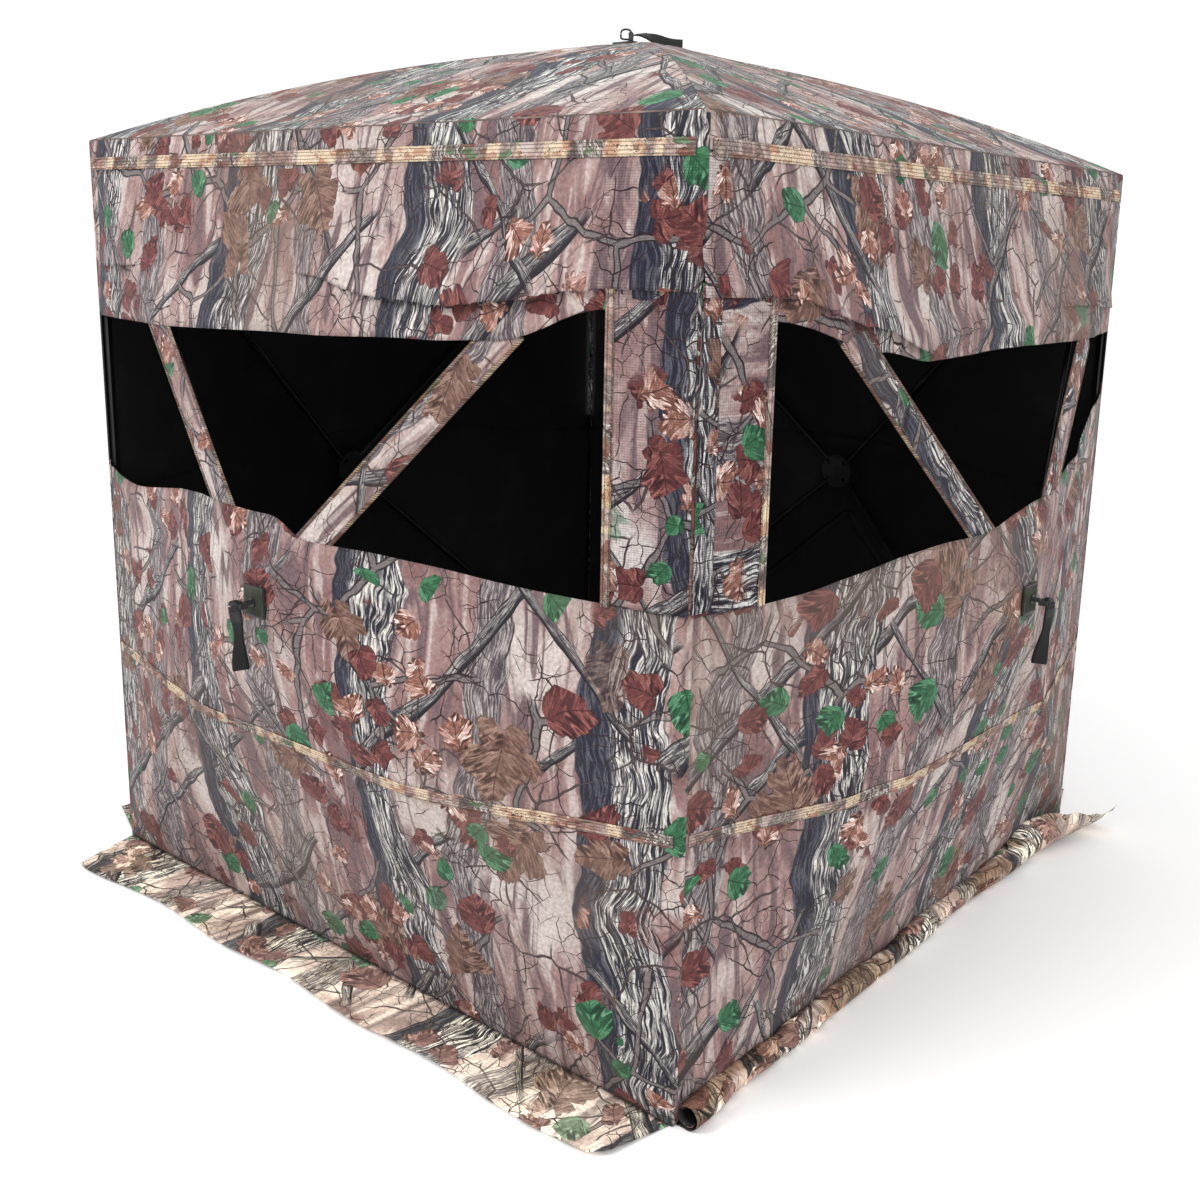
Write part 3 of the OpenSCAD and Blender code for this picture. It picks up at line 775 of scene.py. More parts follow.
def binding(name, ground, camo_share, rows):
    """A stitched tape: ribs along it, dashed thread rows, and scraps of the print."""
    m, p, shader = new_material(name, 0.8, 0.2)
    spot = attribute(p, "print").outputs["Vector"]
    u, v, _ = p.split(spot)
    scraps = woodland(p, p.stretched(u, v, 1.6, 5.0))
    where = p.step(p.noise(p.join(u, 0.0), 9.0, 2.0), 0.56 - camo_share, 0.6 - camo_share)
    paint = p.mix(p.noise(spot, 40.0, 3.0), ground, colour(214, 197, 172))
    rust = p.noise(p.stretched(u, v, 26.0, 60.0), 1.0, 2.0)
    rust = p.step(rust, 0.56, 0.62)
    paint = p.mix(p.times(rust, 0.6), paint, colour(150, 88, 62))
    crack = p.noise(p.stretched(u, v, 60.0, 110.0), 1.0, 4.0, 1.6)
    crack = p.step(p.size(p.calc("SUBTRACT", crack, 0.5)), 0.022, 0.008)
    paint = p.mix(crack, paint, colour(46, 34, 32))
    paint = p.mix(p.times(where, 0.85), paint, scraps)
    run = p.step(p.calc("FRACT", p.calc("DIVIDE", u, 0.0046)), 0.7, 0.6)
    row = p.size(p.calc("SUBTRACT", p.calc("FRACT", p.times(v, rows)), 0.5))
    line = p.step(row, 0.13, 0.06)
    thread = p.times(line, p.scaled(run, 0.5, 0.35))
    paint = p.mix(thread, paint, colour(66, 46, 38))
    surface(p, shader, paint, p.calc("SUBTRACT", 1.0, line), 0.0012, 0.7)
    return m


def zip_teeth():
    """A row of coil teeth across a strip whose print runs along the zip."""
    m, p, shader = new_material("zip_teeth", 0.4, 0.5)
    u, v, _ = p.split(attribute(p, "print").outputs["Vector"])
    tooth = p.step(p.calc("SINE", p.times(v, TURN / 0.0028)), -0.3, 0.3)
    shade = p.noise(p.join(u, v), 60.0, 3.0)
    worn = p.mix(p.step(shade, 0.45, 0.6), colour(44, 44, 46), colour(82, 82, 84))
    surface(p, shader, p.mix(tooth, colour(10, 10, 11), worn), tooth, 0.0012, 0.8)
    return m


def grain_of(p, scale):
    """Object-space noise for hard parts."""
    coords = p.node("TexCoord").outputs["Object"]
    return p.node("TexNoise", {"Vector": coords, "Scale": scale, "Detail": 4.0}).outputs[0]


def plain_black(name, paint, worn, rough, weave_pitch=None, specular=0.3):
    m, p, shader = new_material(name, rough, specular)
    if weave_pitch:
        spot = attribute(p, "print").outputs["Vector"]
        height = weave(p, spot, weave_pitch)
        shade = p.noise(spot, 9.0, 4.0)
        base = p.mix(p.times(height, 0.5), paint, worn)
    else:
        height = grain_of(p, 900.0)
        shade = grain_of(p, 14.0)
        base = paint
    surface(p, shader, p.mix(p.step(shade, 0.5, 0.75), base, worn), height, 0.0006, 0.45)
    return m


CAMO = camo_cloth("camo_cloth", colour(255, 255, 255), 0.0)
# painted light: the roof's copy of the cloth is tinted lighter and cooler, for the light its upward faces
# catch
ROOF = camo_cloth("camo_roof", (1.22, 1.32, 1.3, 1), 1.0)
# painted shadow: the rolled skirt's copy carries twice the painted fold shadow of the flat skirts
SKIRT = pale_cloth("skirt_cloth", 0.5)
ROLLED = pale_cloth("rolled_skirt_cloth", 1.0)
NET = mesh_cloth("camo_mesh")
TAPE = binding("seam_tape", colour(192, 166, 140), 0.10, 220.0)
BINDING = binding("binding_tape", colour(192, 168, 134), 0.16, 160.0)
LINING = plain_black("black_lining", colour(16, 16, 17), colour(30, 30, 32), 0.55, 0.0016, 0.35)
WEBBING = plain_black("black_webbing", colour(18, 18, 19), colour(44, 43, 42), 0.6, 0.0022, 0.3)
GLOSS = plain_black("black_strap", colour(5, 5, 6), colour(13, 13, 13), 0.5, 0.0022, 0.28)
ROD = plain_black("black_fibreglass", colour(22, 22, 24), colour(48, 48, 50), 0.34, None, 0.5)
NYLON = plain_black("moulded_nylon", colour(30, 32, 33), colour(58, 58, 58), 0.46, None, 0.45)
ZINC = plain_black("zinc_slider", colour(150, 152, 154), colour(92, 92, 92), 0.34, None, 0.5)
ZINC.node_tree.nodes["Principled BSDF"].inputs["Metallic"].default_value = 0.9
TEETH = zip_teeth()
PATCH = plain_black("olive_patch", colour(46, 49, 41), colour(66, 69, 58), 0.8, 0.0018, 0.15)

# ---------------------------------------------------------------- walls


def belt_rows(w, upper):
    """Row heights of a belt of cloth at u, from its lower edge to its upper."""
    if not upper:
        count = 78
        return lambda u: [WINDOW_LOW[w](u) * j / count for j in range(count + 1)]
    strip = [i / 7 for i in range(7)]
    rolled = [0, 0.004, 0.009, 0.015, 0.023, 0.033]
    count = 22

    def rows(u):
        low, fold = WINDOW_TOP[w](u), FOLD_LINE[w](u)
        heights = [low + (fold - 0.004 - low) * t for t in strip] + [fold - 0.0016]
        heights += [fold + r for r in rolled]
        rest = fold + 0.033
        return heights + [rest + (EAVE_H - rest) * (j + 1) / count for j in range(count)]

    return rows


def add_belt(w, rows_at, store, **how):
    columns = int(2 * HALF_W / 0.0115)
    us = [HALF_W * (2 * i / columns - 1) for i in range(columns + 1)]
    heights = [rows_at(u) for u in us]
    bm = flat_grid(len(heights[0]) - 1, columns, lambda i, j: (us[i], heights[i][j]))
    cut_to_facets(bm, w)
    gather(bm, w, store, **how)
    bm.free()


def is_net(w, u, v):
    """The upright strip of net beside the front corner."""
    if not 1.12 < v < EAVE_H - 0.058:
        return 0
    return 2 if (w == 0 and u > 0.605) or (w == 1 and u < -0.70) else 0


def make_walls():
    cloths = {}
    for w in range(4):
        for upper in (False, True):
            add_belt(w, belt_rows(w, upper), cloths, kind=lambda u, v, w=w: is_net(w, u, v))
    tapes = make_tapes()
    paints = [CAMO, LINING, NET, LINING]
    pieces = facet_pieces(cloths, "cloth_", paints, "camo_cloth", CLOTH, inner=1)
    for body, (obj, prints) in pieces.items():
        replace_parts(obj, body)
        declare_sheet(obj, prints)


def level_strip(centre, width, rows=4):
    """Row heights of a strip of cloth that follows centre(u)."""
    return lambda u: [centre(u) - width / 2 + width * j / rows for j in range(rows + 1)]


MID_TAPE = (
    curve((-0.75, 0.436), (-0.2, 0.44), (0.3, 0.442), (0.75, 0.459)),
    curve((-0.75, 0.459), (-0.4, 0.44), (0.0, 0.437), (0.4, 0.414), (0.75, 0.43)),
    curve((-0.75, 0.43), (0.0, 0.44), (0.75, 0.44)),
    curve((-0.75, 0.44), (0.0, 0.438), (0.75, 0.436)),
)


def make_tapes():
    """The mid-wall and eave tapes, one object for each facet."""
    store = {}
    eave, reach = EAVE_H - 0.0455, HALF_W - 0.010
    for w in range(4):
        low = MID_TAPE[w]
        place = lambda u, v: (u + 3.1 * w, v - low(u) + 0.01)
        add_belt(w, level_strip(low, 0.019), store, lift=0.0014, reach=reach, origin=place)
        place = lambda u, v: (u + 3.1 * w + 1.3, (v - eave + 0.0115) * 0.82)
        add_belt(w, level_strip(lambda u: eave, 0.023), store, lift=0.0016, reach=reach, origin=place)
    return facet_pieces(store, "tape_", [TAPE], "seam_tape", 0.0009, offset=1.0)


# ---------------------------------------------------------------- sleeves, curtains, panels


def ray_point(side, s):
    """The point at share s from the hub to an upper corner."""
    return side * HALF_W * s, HUB_H + (EAVE_H - HUB_H) * s


def ray_strip(w, side, ends, across, store, lift, origin, rows):
    """A strip along an upper diagonal seam; across is its (low, high) distance from the seam."""
    along = Vector((side * HALF_W, EAVE_H - HUB_H)).normalized()
    left = Vector((-along.y, along.x))
    count = 46

    def point(i, j):
        s = ends[0] + (ends[1] - ends[0]) * i / count
        d = across[0] + (across[1] - across[0]) * j / rows
        u, v = ray_point(side, s)
        return u + left.x * d, v + left.y * d

    bm = flat_grid(rows, count, point)
    if across[0] < 0 < across[1]:
        cut_to_facets(bm, w)
    for f in bm.faces:
        if f.normal.z < 0:
            f.normal_flip()
    gather(bm, w, store, lift=lift, calm=0.0, origin=origin)
    bm.free()


def sleeve_ends(w, side):
    """Where the sleeve of one upper diagonal leaves the lower cloth and goes under the valance."""
    found = []
    for edge in (WINDOW_LOW[w], WINDOW_TOP[w]):

        def miss(s):
            u, v = ray_point(side, s)
            return abs(v - edge(u))

        found.append(min((i / 400 for i in range(1, 400)), key=miss))
    return found[0] - 0.035, found[1] + 0.035


def make_sleeves():
    cloth, edges = {}, {}
    for w in range(4):
        for side in (-1, 1):
            ends = sleeve_ends(w, side)
            place = lambda u, v, w=w, s=side: (u * 0.7 - v * 0.7 * s + 5.3 * w + s, v * 0.7 + u * 0.7 * s)
            wide = 0.058 if (w, side) == (1, 1) else 0.029
            ray_strip(w, side, ends, (-wide, 0.029), cloth, -0.0016, place, 8)
            for low in (-wide - 0.0015, 0.0245):
                place = lambda u, v, w=w, s=side, b=low: (v * 1.37 + 2.0 * w + b * 9, 0.0031)
                ray_strip(w, side, ends, (low, low + 0.006), edges, -0.0006, place, 1)
    sleeves = facet_pieces(cloth, "sleeve_", [CAMO, LINING], "camo_cloth", 0.001, False, inner=1)
    for body, (obj, prints) in sleeves.items():
        declare_sheet(obj, prints)
    bound = [BINDING, BINDING]
    facet_pieces(edges, "sleeve_edge_", bound, "binding_tape", 0.001, False, inner=1)


def make_curtains():
    """Black shades drawn across the back and left windows, inside the cloth."""
    store = {}
    for w in (2, 3):
        count = 34

        def rows(u, w=w):
            low, high = WINDOW_LOW[w](u) - 0.045, WINDOW_TOP[w](u) + 0.045
            return [low + (high - low) * j / count for j in range(count + 1)]

        add_belt(w, rows, store, lift=-0.0055, calm=0.35, reach=HALF_W - 0.016)
    curtains = facet_pieces(store, "curtain_", [LINING], "black_lining", 0.0008)
    for body, (obj, prints) in curtains.items():
        declare_sheet(obj, prints)


def corner_half(w, side, body, node):
    """Half of the net panel, its overlap strip and its bound edge."""
    at = side * HALF_W
    reach = lambda d: at - side * d
    net, bound, edge = (NET, "camo_mesh"), (BINDING, "binding_tape"), PANEL_W - 0.0005
    pieces = (
        ("net_panel_", 0.0, PANEL_W, PANEL_LOW, PANEL_TOP, 0.0042, *net),
        ("net_overlap_", 0.0, 0.033, PANEL_LOW + 0.004, PANEL_TOP - 0.004, 0.0056, *net),
        ("net_edge_", edge - 0.0065, edge + 0.0065, PANEL_LOW - 0.003, PANEL_TOP + 0.003, 0.0056, *bound),
    )
    made = []
    for name, near, far, low, high, lift, paint, slot_name in pieces:
        if name == "net_overlap_" and w == 0:
            continue
        store = {}
        rows = 60
        across = max(2, int((far - near) / 0.01))
        ends = sorted((reach(near), reach(far)))

        def point(i, j):
            return ends[0] + (ends[1] - ends[0]) * i / across, low + (high - low) * j / rows

        bm = flat_grid(rows, across, point)
        if paint is BINDING:
            origin = lambda u, v: (v + w, abs(u - reach(far)) * 0.8)
        else:
            shift = 7.7 + (0.6 if name == "net_overlap_" else 0)
            across_print = w == 1 and name == "net_panel_"
            origin = lambda u, v: (v + 2.13, u + 3) if across_print else (u + shift + w * 1.4, v + 3)
        gather(bm, w, store, lift=lift, calm=0.0, origin=origin)
        bm.free()
        verts, faces, prints = store[body][:3]
        hems = [min(v.z - low, high - v.z) for v in verts]
        obj = mesh_piece(name + WALLS[w], verts, faces, prints, [paint, LINING], None, hems)
        thicken(obj, 0.001, inner=0)
        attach(obj, body)
        made.append((obj, prints))
    panel, prints = made[0]
    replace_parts(panel, node)
    declare_sheet(panel, prints)


# ---------------------------------------------------------------- roof


def roof_height(x, y):
    m = max(abs(x), abs(y)) / HALF_W
    return EAVE_H + RISE * (1 - m) + ROOF_BOW * 4 * m * (1 - m)


def roof_sag(w, x, y):
    """The cloth's hang between two ribs, and its soft wrinkles; x runs along the eave."""
    if y < 1e-4:
        return 0.0
    side = abs(x) / y
    span = y / HALF_W
    calm = (1 - side**4) * blend_in(span, 0.08, 0.3) * blend_in(1 - span, 0.0, 0.12)
    sag = -0.008 * (1 - side * side) * span
    soft = noise.noise(Vector((x * 3 + 11 * w, y * 2.5, 4.0))) * 0.005
    pleat = 0.0022 * math.sin(side * 21 + w) * blend_in(1 - span, 0.3, 0.75)
    return calm * (sag + soft + pleat)


def make_roof():
    rows, columns = 64, 84
    for w, wall in enumerate(WALLS):
        verts, prints, hems = [], [], []
        turn = quarter(w)
        for j in range(rows + 1):
            y = max(HALF_W * j / rows, BOLT_HOLE)
            for i in range(columns + 1):
                x = y * (2 * i / columns - 1)
                z = roof_height(x, y) + roof_sag(w, x, y)
                verts.append(turn @ Vector((x, -y, z)))
                prints.append((x + PRINT_STEP * w, EAVE_H + (HALF_W - y) * 1.05))
                hems.append((y - abs(x)) * 0.7)
        faces = flipped(grid_faces(rows, columns))
        body = "roof_gore_" + wall
        obj = mesh_piece("cloth_" + body, verts, faces, prints, [ROOF, LINING], None, hems)
        thicken(obj, CLOTH, inner=1)
        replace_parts(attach(obj, body), body)
        declare_sheet(obj, prints)


# ---------------------------------------------------------------- root pieces


def sweep(name, path, radius, material, closed=False, sides=10, wobble=0.0):
    """A tube along a path of points."""
    verts, faces, prints = [], [], []
    count = len(path)
    run = 0.0
    for k, c in enumerate(path):
        before = path[k - 1] if closed or k else path[0]
        after = path[(k + 1) % count] if closed or k < count - 1 else path[-1]
        along = (after - before).normalized()
        side = along.cross(Vector((0, 0, 1)))
        side = side.normalized() if side.length > 1e-4 else Vector((1, 0, 0))
        up = side.cross(along)
        run += (c - path[k - 1]).length if k else 0.0
        r = radius * (1 + wobble * noise.noise(Vector((run * 40, 0, 0))))
        for i in range(sides):
            a = 2 * math.pi * i / sides
            verts.append(c + r * (math.cos(a) * side + math.sin(a) * up))
            prints.append((run, i * 0.002))
    for k in range(count if closed else count - 1):
        n = (k + 1) % count
        for i in range(sides):
            m = (i + 1) % sides
            faces.append((k * sides + i, k * sides + m, n * sides + m, n * sides + i))
    if not closed:
        faces.append(tuple(range(sides))[::-1])
        faces.append(tuple((count - 1) * sides + i for i in range(sides)))
    return mesh_piece(name, verts, faces, prints, [material])


def square_loop(half, z, step=0.02, corner=0.006):
    points = []
    for w in range(4):
        turn = quarter(w)
        count = int(2 * (half - corner) / step)
        for i in range(count + 1):
            x = -(half - corner) + 2 * (half - corner) * i / count
            points.append(turn @ Vector((x, -half, 0)) + Vector((0, 0, z)))
    return points


def make_eave():
    loop = square_loop(HALF_W - 0.0015, EAVE_H)
    obj = sweep("eave_cord", loop, PIPING_R * 0.6, PIPING, True, 10, 0.3)
    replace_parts(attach(obj, "root"), "eave_piping")


def make_corner_tapes():
    """Bound upright corners: a narrow angle of tape with a rounded edge."""
    verts, faces, prints, kinds = [], [], [], []
    width, rows = 0.009, 130
    bare = {1: (1.02, 1.13), 3: (0.83, 1.125)}
    low, high = 0.004, EAVE_H - 0.004
    profile = [(-width, 0), (-0.004, 0), (-0.0012, -0.0012), (0, -0.004), (0, -width)]
    for c in range(4):
        turn = quarter(c)
        start = len(verts)
        for j in range(rows + 1):
            z = low + (high - low) * j / rows
            for k, (x, y) in enumerate(profile):
                corner = Vector((HALF_W + 0.0012 + x, -(HALF_W + 0.0012 + y), 0))
                verts.append(turn @ corner + Vector((0, 0, z)))
                prints.append((HALF_W + PRINT_STEP * c + (k - 2) * 0.0035, z))
        n = len(profile)
        for j in range(rows):
            for k in range(n - 1):
                a = start + j * n + k
                faces.append((a, a + 1, a + n + 1, a + n))
                z = low + (high - low) * j / rows
                kinds.append(1 if c in bare and bare[c][0] < z < bare[c][1] else 0)
    obj = mesh_piece("corner_binding", verts, faces, prints, [CAMO, GLOSS], kinds)
    thicken(obj, 0.0012, offset=0.0)
    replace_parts(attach(obj, "root"), "corner_tapes")


def make_corner_shades():
    """Black strips inside the two corners where an open window meets a curtained one."""
    verts, faces = [], []
    low, high = WINDOW_LOW[0](-HALF_W) - 0.05, WINDOW_TOP[0](-HALF_W) + 0.05
    profile = ((0.021, 0.0038), (0.0038, 0.0038), (0.0038, 0.021))
    for c in (1, 3):
        turn = quarter(c)
        start = len(verts)
        for z in (low, high):
            for x, y in profile:
                verts.append(turn @ Vector((HALF_W - x, y - HALF_W, z)))
        for k in range(len(profile) - 1):
            a = start + k
            faces.append((a, a + 1, a + 4, a + 3))
    obj = mesh_piece("corner_shades", verts, faces, [(v[0], v[2]) for v in verts], [LINING])
    thicken(obj, 0.001, offset=0.0)
    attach(obj, "root")


def skirt_sheet(name, w, outline, lift):
    """A flat skirt: outline(s, t) gives (x, d), the place along the wall and out from it."""
    verts, prints = [], []
    columns, rows = 130, 14
    turn = quarter(w)
    for j in range(rows + 1):
        for i in range(columns + 1):
            s, t = i / columns, j / rows
            x, d = outline(s, t)
            ripple = noise.noise(Vector((x * 5 + 3 * w, d * 9, 1.0)))
            small = noise.noise(Vector((x * 17 + 3 * w, d * 12, 5.0)))
            z = 0.0014 + lift * t * (0.5 + 0.5 * ripple) + 0.0022 * t * (1 + small)
            verts.append(turn @ Vector((x, -HALF_W - d, z)))
            prints.append((x + 3.3 * w + 0.4, d + 5))
    faces = flipped(grid_faces(rows, columns))
    obj = mesh_piece(name, verts, faces, prints, [SKIRT, SKIRT])
    thicken(obj, 0.001)
    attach(obj, "root")
    declare_sheet(obj, prints)
    return obj


def front_outline(s, t):
    left = -0.745 + 0.05 * t
    right = 0.745 - 0.027 * t
    width = 0.136 + 0.006 * math.sin(s * 23) + 0.014 * blend_in(s, 0.12, 0.0)
    return left + (right - left) * s, 0.0006 + width * t - 0.02 * t * blend_in(s, 0.985, 1.0)


def side_outline(s, t):
    left = -0.745 + 0.04 * t
    right = 0.745 - 0.05 * t
    width = 0.132 + 0.006 * math.sin(s * 19 + 1)
    return left + (right - left) * s, 0.0006 + width * t


def curl_at(s):
    """How far the right skirt is rolled up, 1 at the near end and little at the far one."""
    return 1.0 - 0.86 * blend_in(s, 0.62, 0.97)


def curled_skirt():
    """The right-hand skirt, rolled up along its outer edge."""
    verts, prints = [], []
    columns, rows = 120, 34
    width, flat = 0.148, 0.02
    turn = quarter(1)
    for i in range(columns + 1):
        s = i / columns
        x0 = -0.742 + 1.484 * s
        curl = curl_at(s)
        breadth = 1 + 0.42 * noise.noise(Vector((s * 11, 0, 3)))
        breadth += 0.2 * noise.noise(Vector((s * 34, 0, 5)))
        push = 0.012 * blend_in(s, 0.0, 0.1) * noise.noise(Vector((s * 6, 2, 8)))
        d, z, angle = 0.0006, 0.0014, 0.0
        for j in range(rows + 1):
            q = width * j / rows
            x = x0 + (0.02 if i == columns else 0.0) * j / rows
            fold = 0.0035 * noise.noise(Vector((x * 26, angle * 1.3, 4))) * min(angle, 1)
            y = -HALF_W - d - fold - push * min(1, q / flat)
            verts.append(turn @ Vector((x + push * 0.5, y, max(z + fold, 0.0012))))
            prints.append((x + 2.1, q + 8))
            step = width / rows
            if q > flat:
                tight = 0.0205 - 0.006 * (q - flat) / (width - flat)
                angle += curl * step / (tight * breadth)
            d += step * math.cos(angle)
            z += step * math.sin(angle)
    faces = grid_faces(columns, rows)
    obj = mesh_piece("skirt_right", verts, faces, prints, [LINING, ROLLED])
    thicken(obj, 0.001, inner=1, rim=1)
    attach(obj, "root")
    declare_sheet(obj, prints)
    return obj


def make_skirts():
    front = skirt_sheet("skirt_front", 0, front_outline, 0.006)
    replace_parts(front, "ground_skirt")
    skirt_sheet("skirt_back", 2, side_outline, 0.006)
    skirt_sheet("skirt_left", 3, side_outline, 0.006)
    curled_skirt()


# ---------------------------------------------------------------- straps


def webbing_strip(name, path, widths, normal, material, thick=0.0016):
    """A strap along a path; normal(k) gives the way its face looks."""
    verts, prints = [], []
    run = 0.0
    cols = 4
    for k, c in enumerate(path):
        a = path[max(k - 1, 0)]
        b = path[min(k + 1, len(path) - 1)]
        along = (b - a).normalized()
        side = along.cross(normal(k)).normalized()
        run += (c - path[k - 1]).length if k else 0.0
        for i in range(cols + 1):
            t = 2 * i / cols - 1
            verts.append(c + side * (widths[k] / 2 * t))
            prints.append((widths[k] / 2 * t, run))
    faces = grid_faces(len(path) - 1, cols)
    obj = mesh_piece(name, verts, faces, prints, [material])
    thicken(obj, thick, offset=0.0)
    return obj


def pin_of(strap):
    """A strap's pin and the pin's own direction."""
    joint = JOINTS[f"{strap}_lift" if strap.endswith("roof") else f"{strap}_swing"]
    return Vector(joint["pos_m"]), Vector(joint["axis"]).normalized()


def d_ring(name, body, centre, across, up, half_w, half_h):
    """A wire ring with one flat side, riding body."""
    points = []
    for i in range(32):
        a = 2 * math.pi * i / 32
        x = half_w * math.copysign(abs(math.cos(a)) ** 0.7, math.cos(a))
        y = half_h * math.copysign(abs(math.sin(a)) ** (0.8 if math.sin(a) > 0 else 0.35), math.sin(a))
        points.append(centre + across * x + up * y)
    wire = sweep(name, points, 0.0019, ROD, True, 8)
    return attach(wire, body)


def finish_strap(body, axis, path, widths, faces, away, doubled):
    """The strap, its loop round the pin and its doubled cuff, as (strap, other pieces)."""
    side = body[len("pull_strap_"):]
    obj = webbing_strip("strap_" + side, path, widths, lambda k: faces[k], GLOSS, 0.0026)
    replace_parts(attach(obj, body), body)
    pin, half = pin_of(body)[0], axis * 0.0118
    loop = sweep("strap_loop_" + side, [pin - half, pin + half], 0.0052, GLOSS, False, 16)
    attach(loop, body)
    first, last = doubled
    cuff = [c + away for c in path[first:last]]
    widths = [b + 0.0006 for b in widths[first:last]]
    layer = webbing_strip("strap_cuff_" + side, cuff, widths, lambda k: faces[k + first], WEBBING, 0.0012)
    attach(layer, body)
    return obj, [loop, layer]


def make_wall_strap(w):
    """The strap hangs from its pin, narrows at the waist and turns its face at the foot."""
    body = "pull_strap_" + WALLS[w]
    pin, across = pin_of(body)
    out = on_wall(w, 0, 0, 1) - on_wall(w, 0, 0, 0)
    right = on_wall(w, 1, 0, 0) - on_wall(w, 0, 0, 0)
    down = Vector((0, 0, -1))
    turn = 1 if w % 2 == 0 else -1
    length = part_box(body)[1].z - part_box(body)[0].z - 0.008
    path, widths, faces = [], [], []
    count = 30
    for k in range(count + 1):
        t = k / count
        waist = 0.0245 - 0.0095 * math.exp(-(((t - 0.45) / 0.22) ** 2)) + 0.003 * blend_in(t, 0.7, 1.0)
        sway = right * 0.003 * math.sin(t * 5)
        path.append(pin + down * (0.002 + length * t) + out * (0.004 - 0.010 * t) + sway)
        widths.append(waist if t < 0.97 else waist * 0.9)
        angle = turn * (0.25 + 0.75 * blend_in(t, 0.1, 0.75))
        faces.append((out * math.cos(angle) + right * math.sin(angle)).normalized())
    obj, rest = finish_strap(body, across, path, widths, faces, out * 0.0014, (2, 8))


def make_roof_strap():
    """The roof's strap lies along the cloth from its pin, with a ring beside the pin on the side away from
    the strap.
    """
    body = "pull_strap_roof"
    pin, axis = pin_of(body)
    up = Vector((0, 0, 1))
    along = up.cross(axis)
    along = -along if along.x < 0 else along
    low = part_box(body)[0].z
    count, length = 34, 0.104
    path, widths, faces = [], [], []
    for k in range(count + 1):
        t = k / count
        drop = 0.001 + (pin.z - low - 0.010) * t ** 1.3
        path.append(pin + along * length * t - up * (drop - 0.003 * math.sin(t * 6.5)))
        widths.append(0.0225 + 0.004 * math.sin(t * 3.0))
        angle = 0.15 + 0.75 * blend_in(t, 0.05, 0.6)
        faces.append((up * math.cos(angle) + axis * math.sin(angle)).normalized())
    obj, rest = finish_strap(body, axis, path, widths, faces, up * 0.0016, (3, 11))
    d_ring("roof_ring", "hub_roof", pin - along * 0.010 + up * 0.001, along, up, 0.0105, 0.0095)


def make_patches():
    """The square of olive cloth under each hub's bolt."""
    for hub in ["hub_" + wall for wall in WALLS] + ["hub_roof"]:
        verts, prints = [], []
        if hub == "hub_roof":
            spot = Matrix.Translation((0, 0, EAVE_H + RISE))
        else:
            w = WALLS.index(hub[4:])
            stand = Matrix.Rotation(math.radians(90), 4, "X")
            facing = quarter(w, 4) @ stand
            spot = Matrix.Translation(on_wall(w, 0, HUB_H, BULGE)) @ facing
        half, n = 0.0266, 10
        for j in range(n + 1):
            for i in range(n + 1):
                x, y = half * (2 * i / n - 1), half * (2 * j / n - 1)
                edge = max(abs(x), abs(y)) / half
                lift = 0.0062 - 0.0035 * edge**6 + 0.0006 * noise.noise(Vector((x * 90, y * 90, 1)))
                verts.append(spot @ Vector((x, y, lift)))
                prints.append((x, y))
        obj = mesh_piece("patch_of_" + hub, verts, grid_faces(n, n), prints, [PATCH])
        thicken(obj, 0.0035)
        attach(obj, hub)


def door_strip(name, a, b, near, far, lift, paint):
    """A strip along the door's edge from a to b, from near to far outside it."""
    along = (b - a).normalized()
    out = Vector((along.y, -along.x))
    verts, prints = [], []
    count, cross = 80, 3
    for i in range(count + 1):
        for j in range(cross + 1):
            reach = near + (far - near) * j / cross
            q = a + (b - a) * i / count + out * reach
            shift, up = slack(2, q.x, q.y)
            verts.append(on_wall(2, q.x, q.y + up, pyramid(q.x, q.y) + shift + lift))
            prints.append((reach, (b - a).length * i / count))
    obj = mesh_piece(name, verts, grid_faces(count, cross), prints, [paint])
    thicken(obj, 0.0008, offset=0.0)
    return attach(obj, "wall_back_bottom")


def make_door_zip():
    """The zip's tape and teeth on the door's free edge, and a draught strip inside all three."""
    corners = door_corners(DOOR_GAP)
    for k, (a, b) in enumerate(zip(corners, corners[1:] + corners[:1])):
        door_strip(f"door_draught_strip_{k}", a, b, -0.006, 0.010, -0.0042, LINING)
    door_strip("door_zip_tape", corners[1], corners[2], 0.0, 0.012, 0.0014, WEBBING)
    door_strip("door_zip_teeth", corners[1], corners[2], -0.0016, 0.0028, 0.0026, TEETH)


# ---------------------------------------------------------------- build


def paint_nodes():
    for name, obj in frame["nodes"].items():
        if obj.hide_render:
            continue
        paint = NYLON
        if name.startswith(("pole_", "roof_pole_")):
            paint = ROD
        if name == "door_zip_slider":
            paint = ZINC
        obj.data.materials.clear()
        obj.data.materials.append(paint)
        for poly in obj.data.polygons:
            poly.use_smooth = True
        edge = obj.modifiers.new("edge", "BEVEL")
        edge.width = 0.0006
        edge.segments = 2
        edge.limit_method = "ANGLE"
        edge.angle_limit = math.radians(35)
        edge.harden_normals = True


PIPING = plain_black("eave_piping_cloth", colour(70, 58, 56), colour(140, 124, 116), 0.8, 0.0018, 0.2)

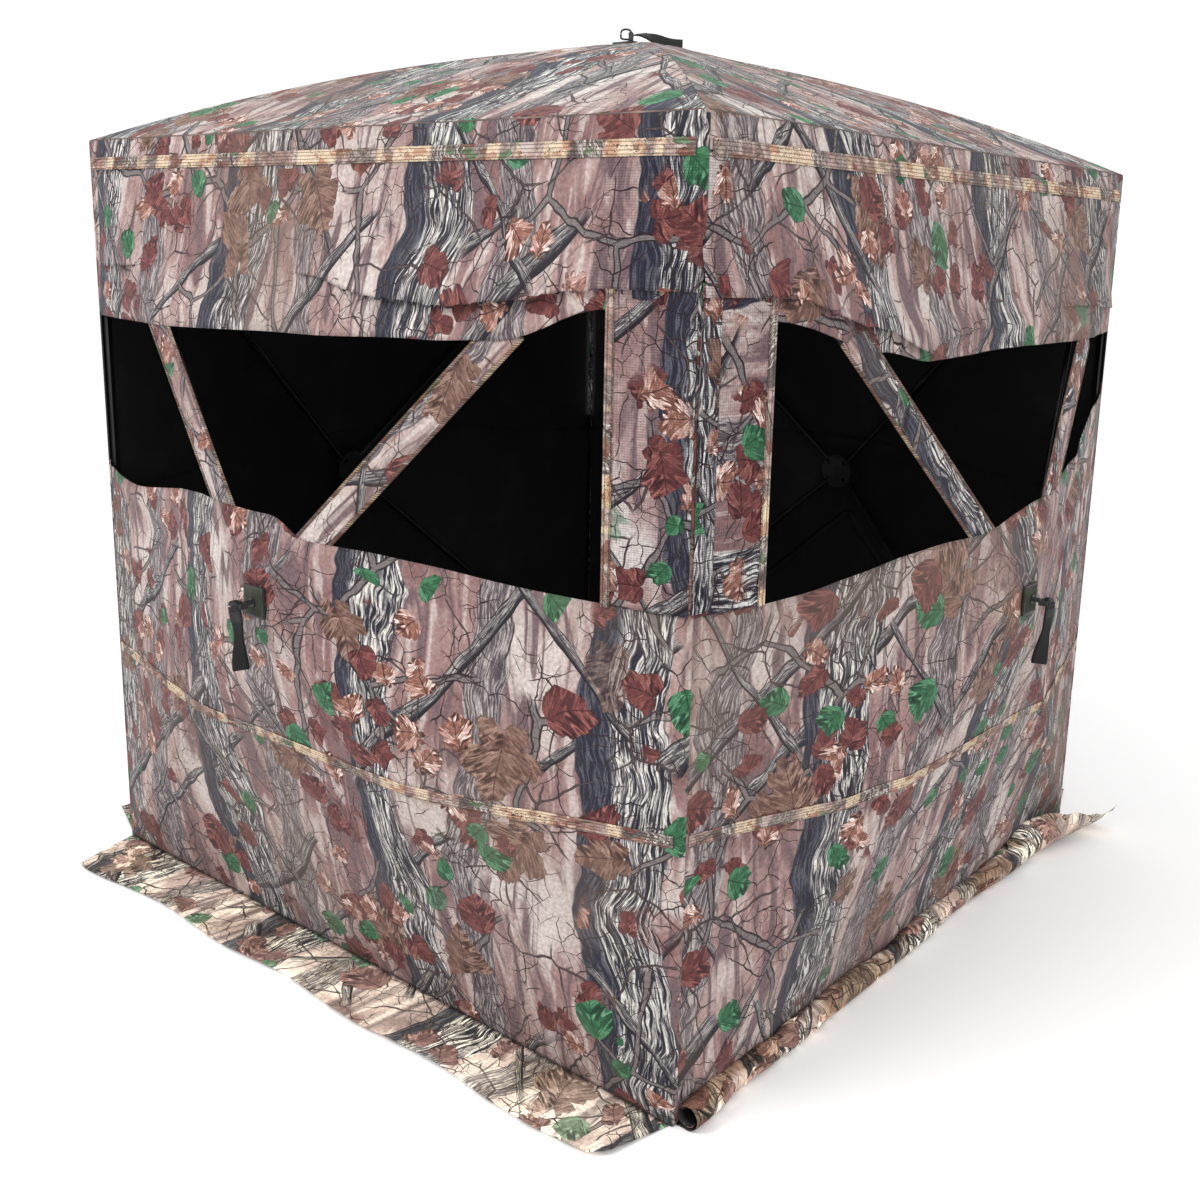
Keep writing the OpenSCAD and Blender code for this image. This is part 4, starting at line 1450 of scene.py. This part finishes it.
make_walls()
make_sleeves()
make_curtains()
corner_half(0, 1, "wall_front_right", "corner_panel_front")
corner_half(1, -1, "wall_right_left", "corner_panel_right")
make_roof()
make_eave()
make_corner_tapes()
make_corner_shades()
make_skirts()
for wall_number in range(4):
    make_wall_strap(wall_number)
make_roof_strap()
make_patches()
make_door_zip()
paint_nodes()

# ---------------------------------------------------------------- stage


def make_floor():
    bpy.ops.mesh.primitive_plane_add(size=60, location=(0, 0, -0.0005))
    floor = bpy.context.object
    floor.name = "floor"
    m, p, shader = new_material("floor_white", 0.9, 0.1)
    feed(p.tree, shader.inputs["Base Color"], (0.97, 0.97, 0.97, 1))
    floor.data.materials.append(m)


def area_light(name, place, target, size, power):
    data = bpy.data.lights.new(name, "AREA")
    data.shape = "DISK"
    data.size = size
    data.energy = power
    obj = bpy.data.objects.new(name, data)
    bpy.context.scene.collection.objects.link(obj)
    obj.location = place
    obj.rotation_mode = "QUATERNION"
    obj.rotation_quaternion = (Vector(target) - Vector(place)).to_track_quat("-Z", "Y")


def make_camera():
    data = bpy.data.cameras.new("camera")
    cam = bpy.data.objects.new("camera", data)
    bpy.context.scene.collection.objects.link(cam)
    bpy.context.scene.camera = cam
    az, el, roll = math.radians(38.53), math.radians(12.35), math.radians(1.51)
    back = Vector((math.sin(az) * math.cos(el), -math.cos(az) * math.cos(el), math.sin(el)))
    x = Vector((math.cos(az), math.sin(az), 0))
    y = back.cross(x)
    right = x * math.cos(roll) + y * math.sin(roll)
    up = y * math.cos(roll) - x * math.sin(roll)
    turn = Matrix((right, up, back)).transposed().to_4x4()
    cam.matrix_world = Matrix.Translation((1.790, -2.154, 1.297)) @ turn
    data.lens = 39.57
    data.sensor_width = 36
    data.shift_x = -0.0393
    data.shift_y = -0.0567


def make_world():
    world = bpy.data.worlds.new("studio")
    bpy.context.scene.world = world
    world.use_nodes = True
    world.node_tree.nodes["Background"].inputs["Color"].default_value = (1, 1, 1, 1)
    world.node_tree.nodes["Background"].inputs["Strength"].default_value = 1.06


make_floor()
make_camera()
make_world()
area_light("key", (-1.5, -4.5, 4.2), (0, 0, 0.8), 3.0, 150)
area_light("fill", (4.5, -1.5, 3.0), (0, 0, 0.8), 3.0, 60)
bpy.context.scene.view_settings.view_transform = "Standard"
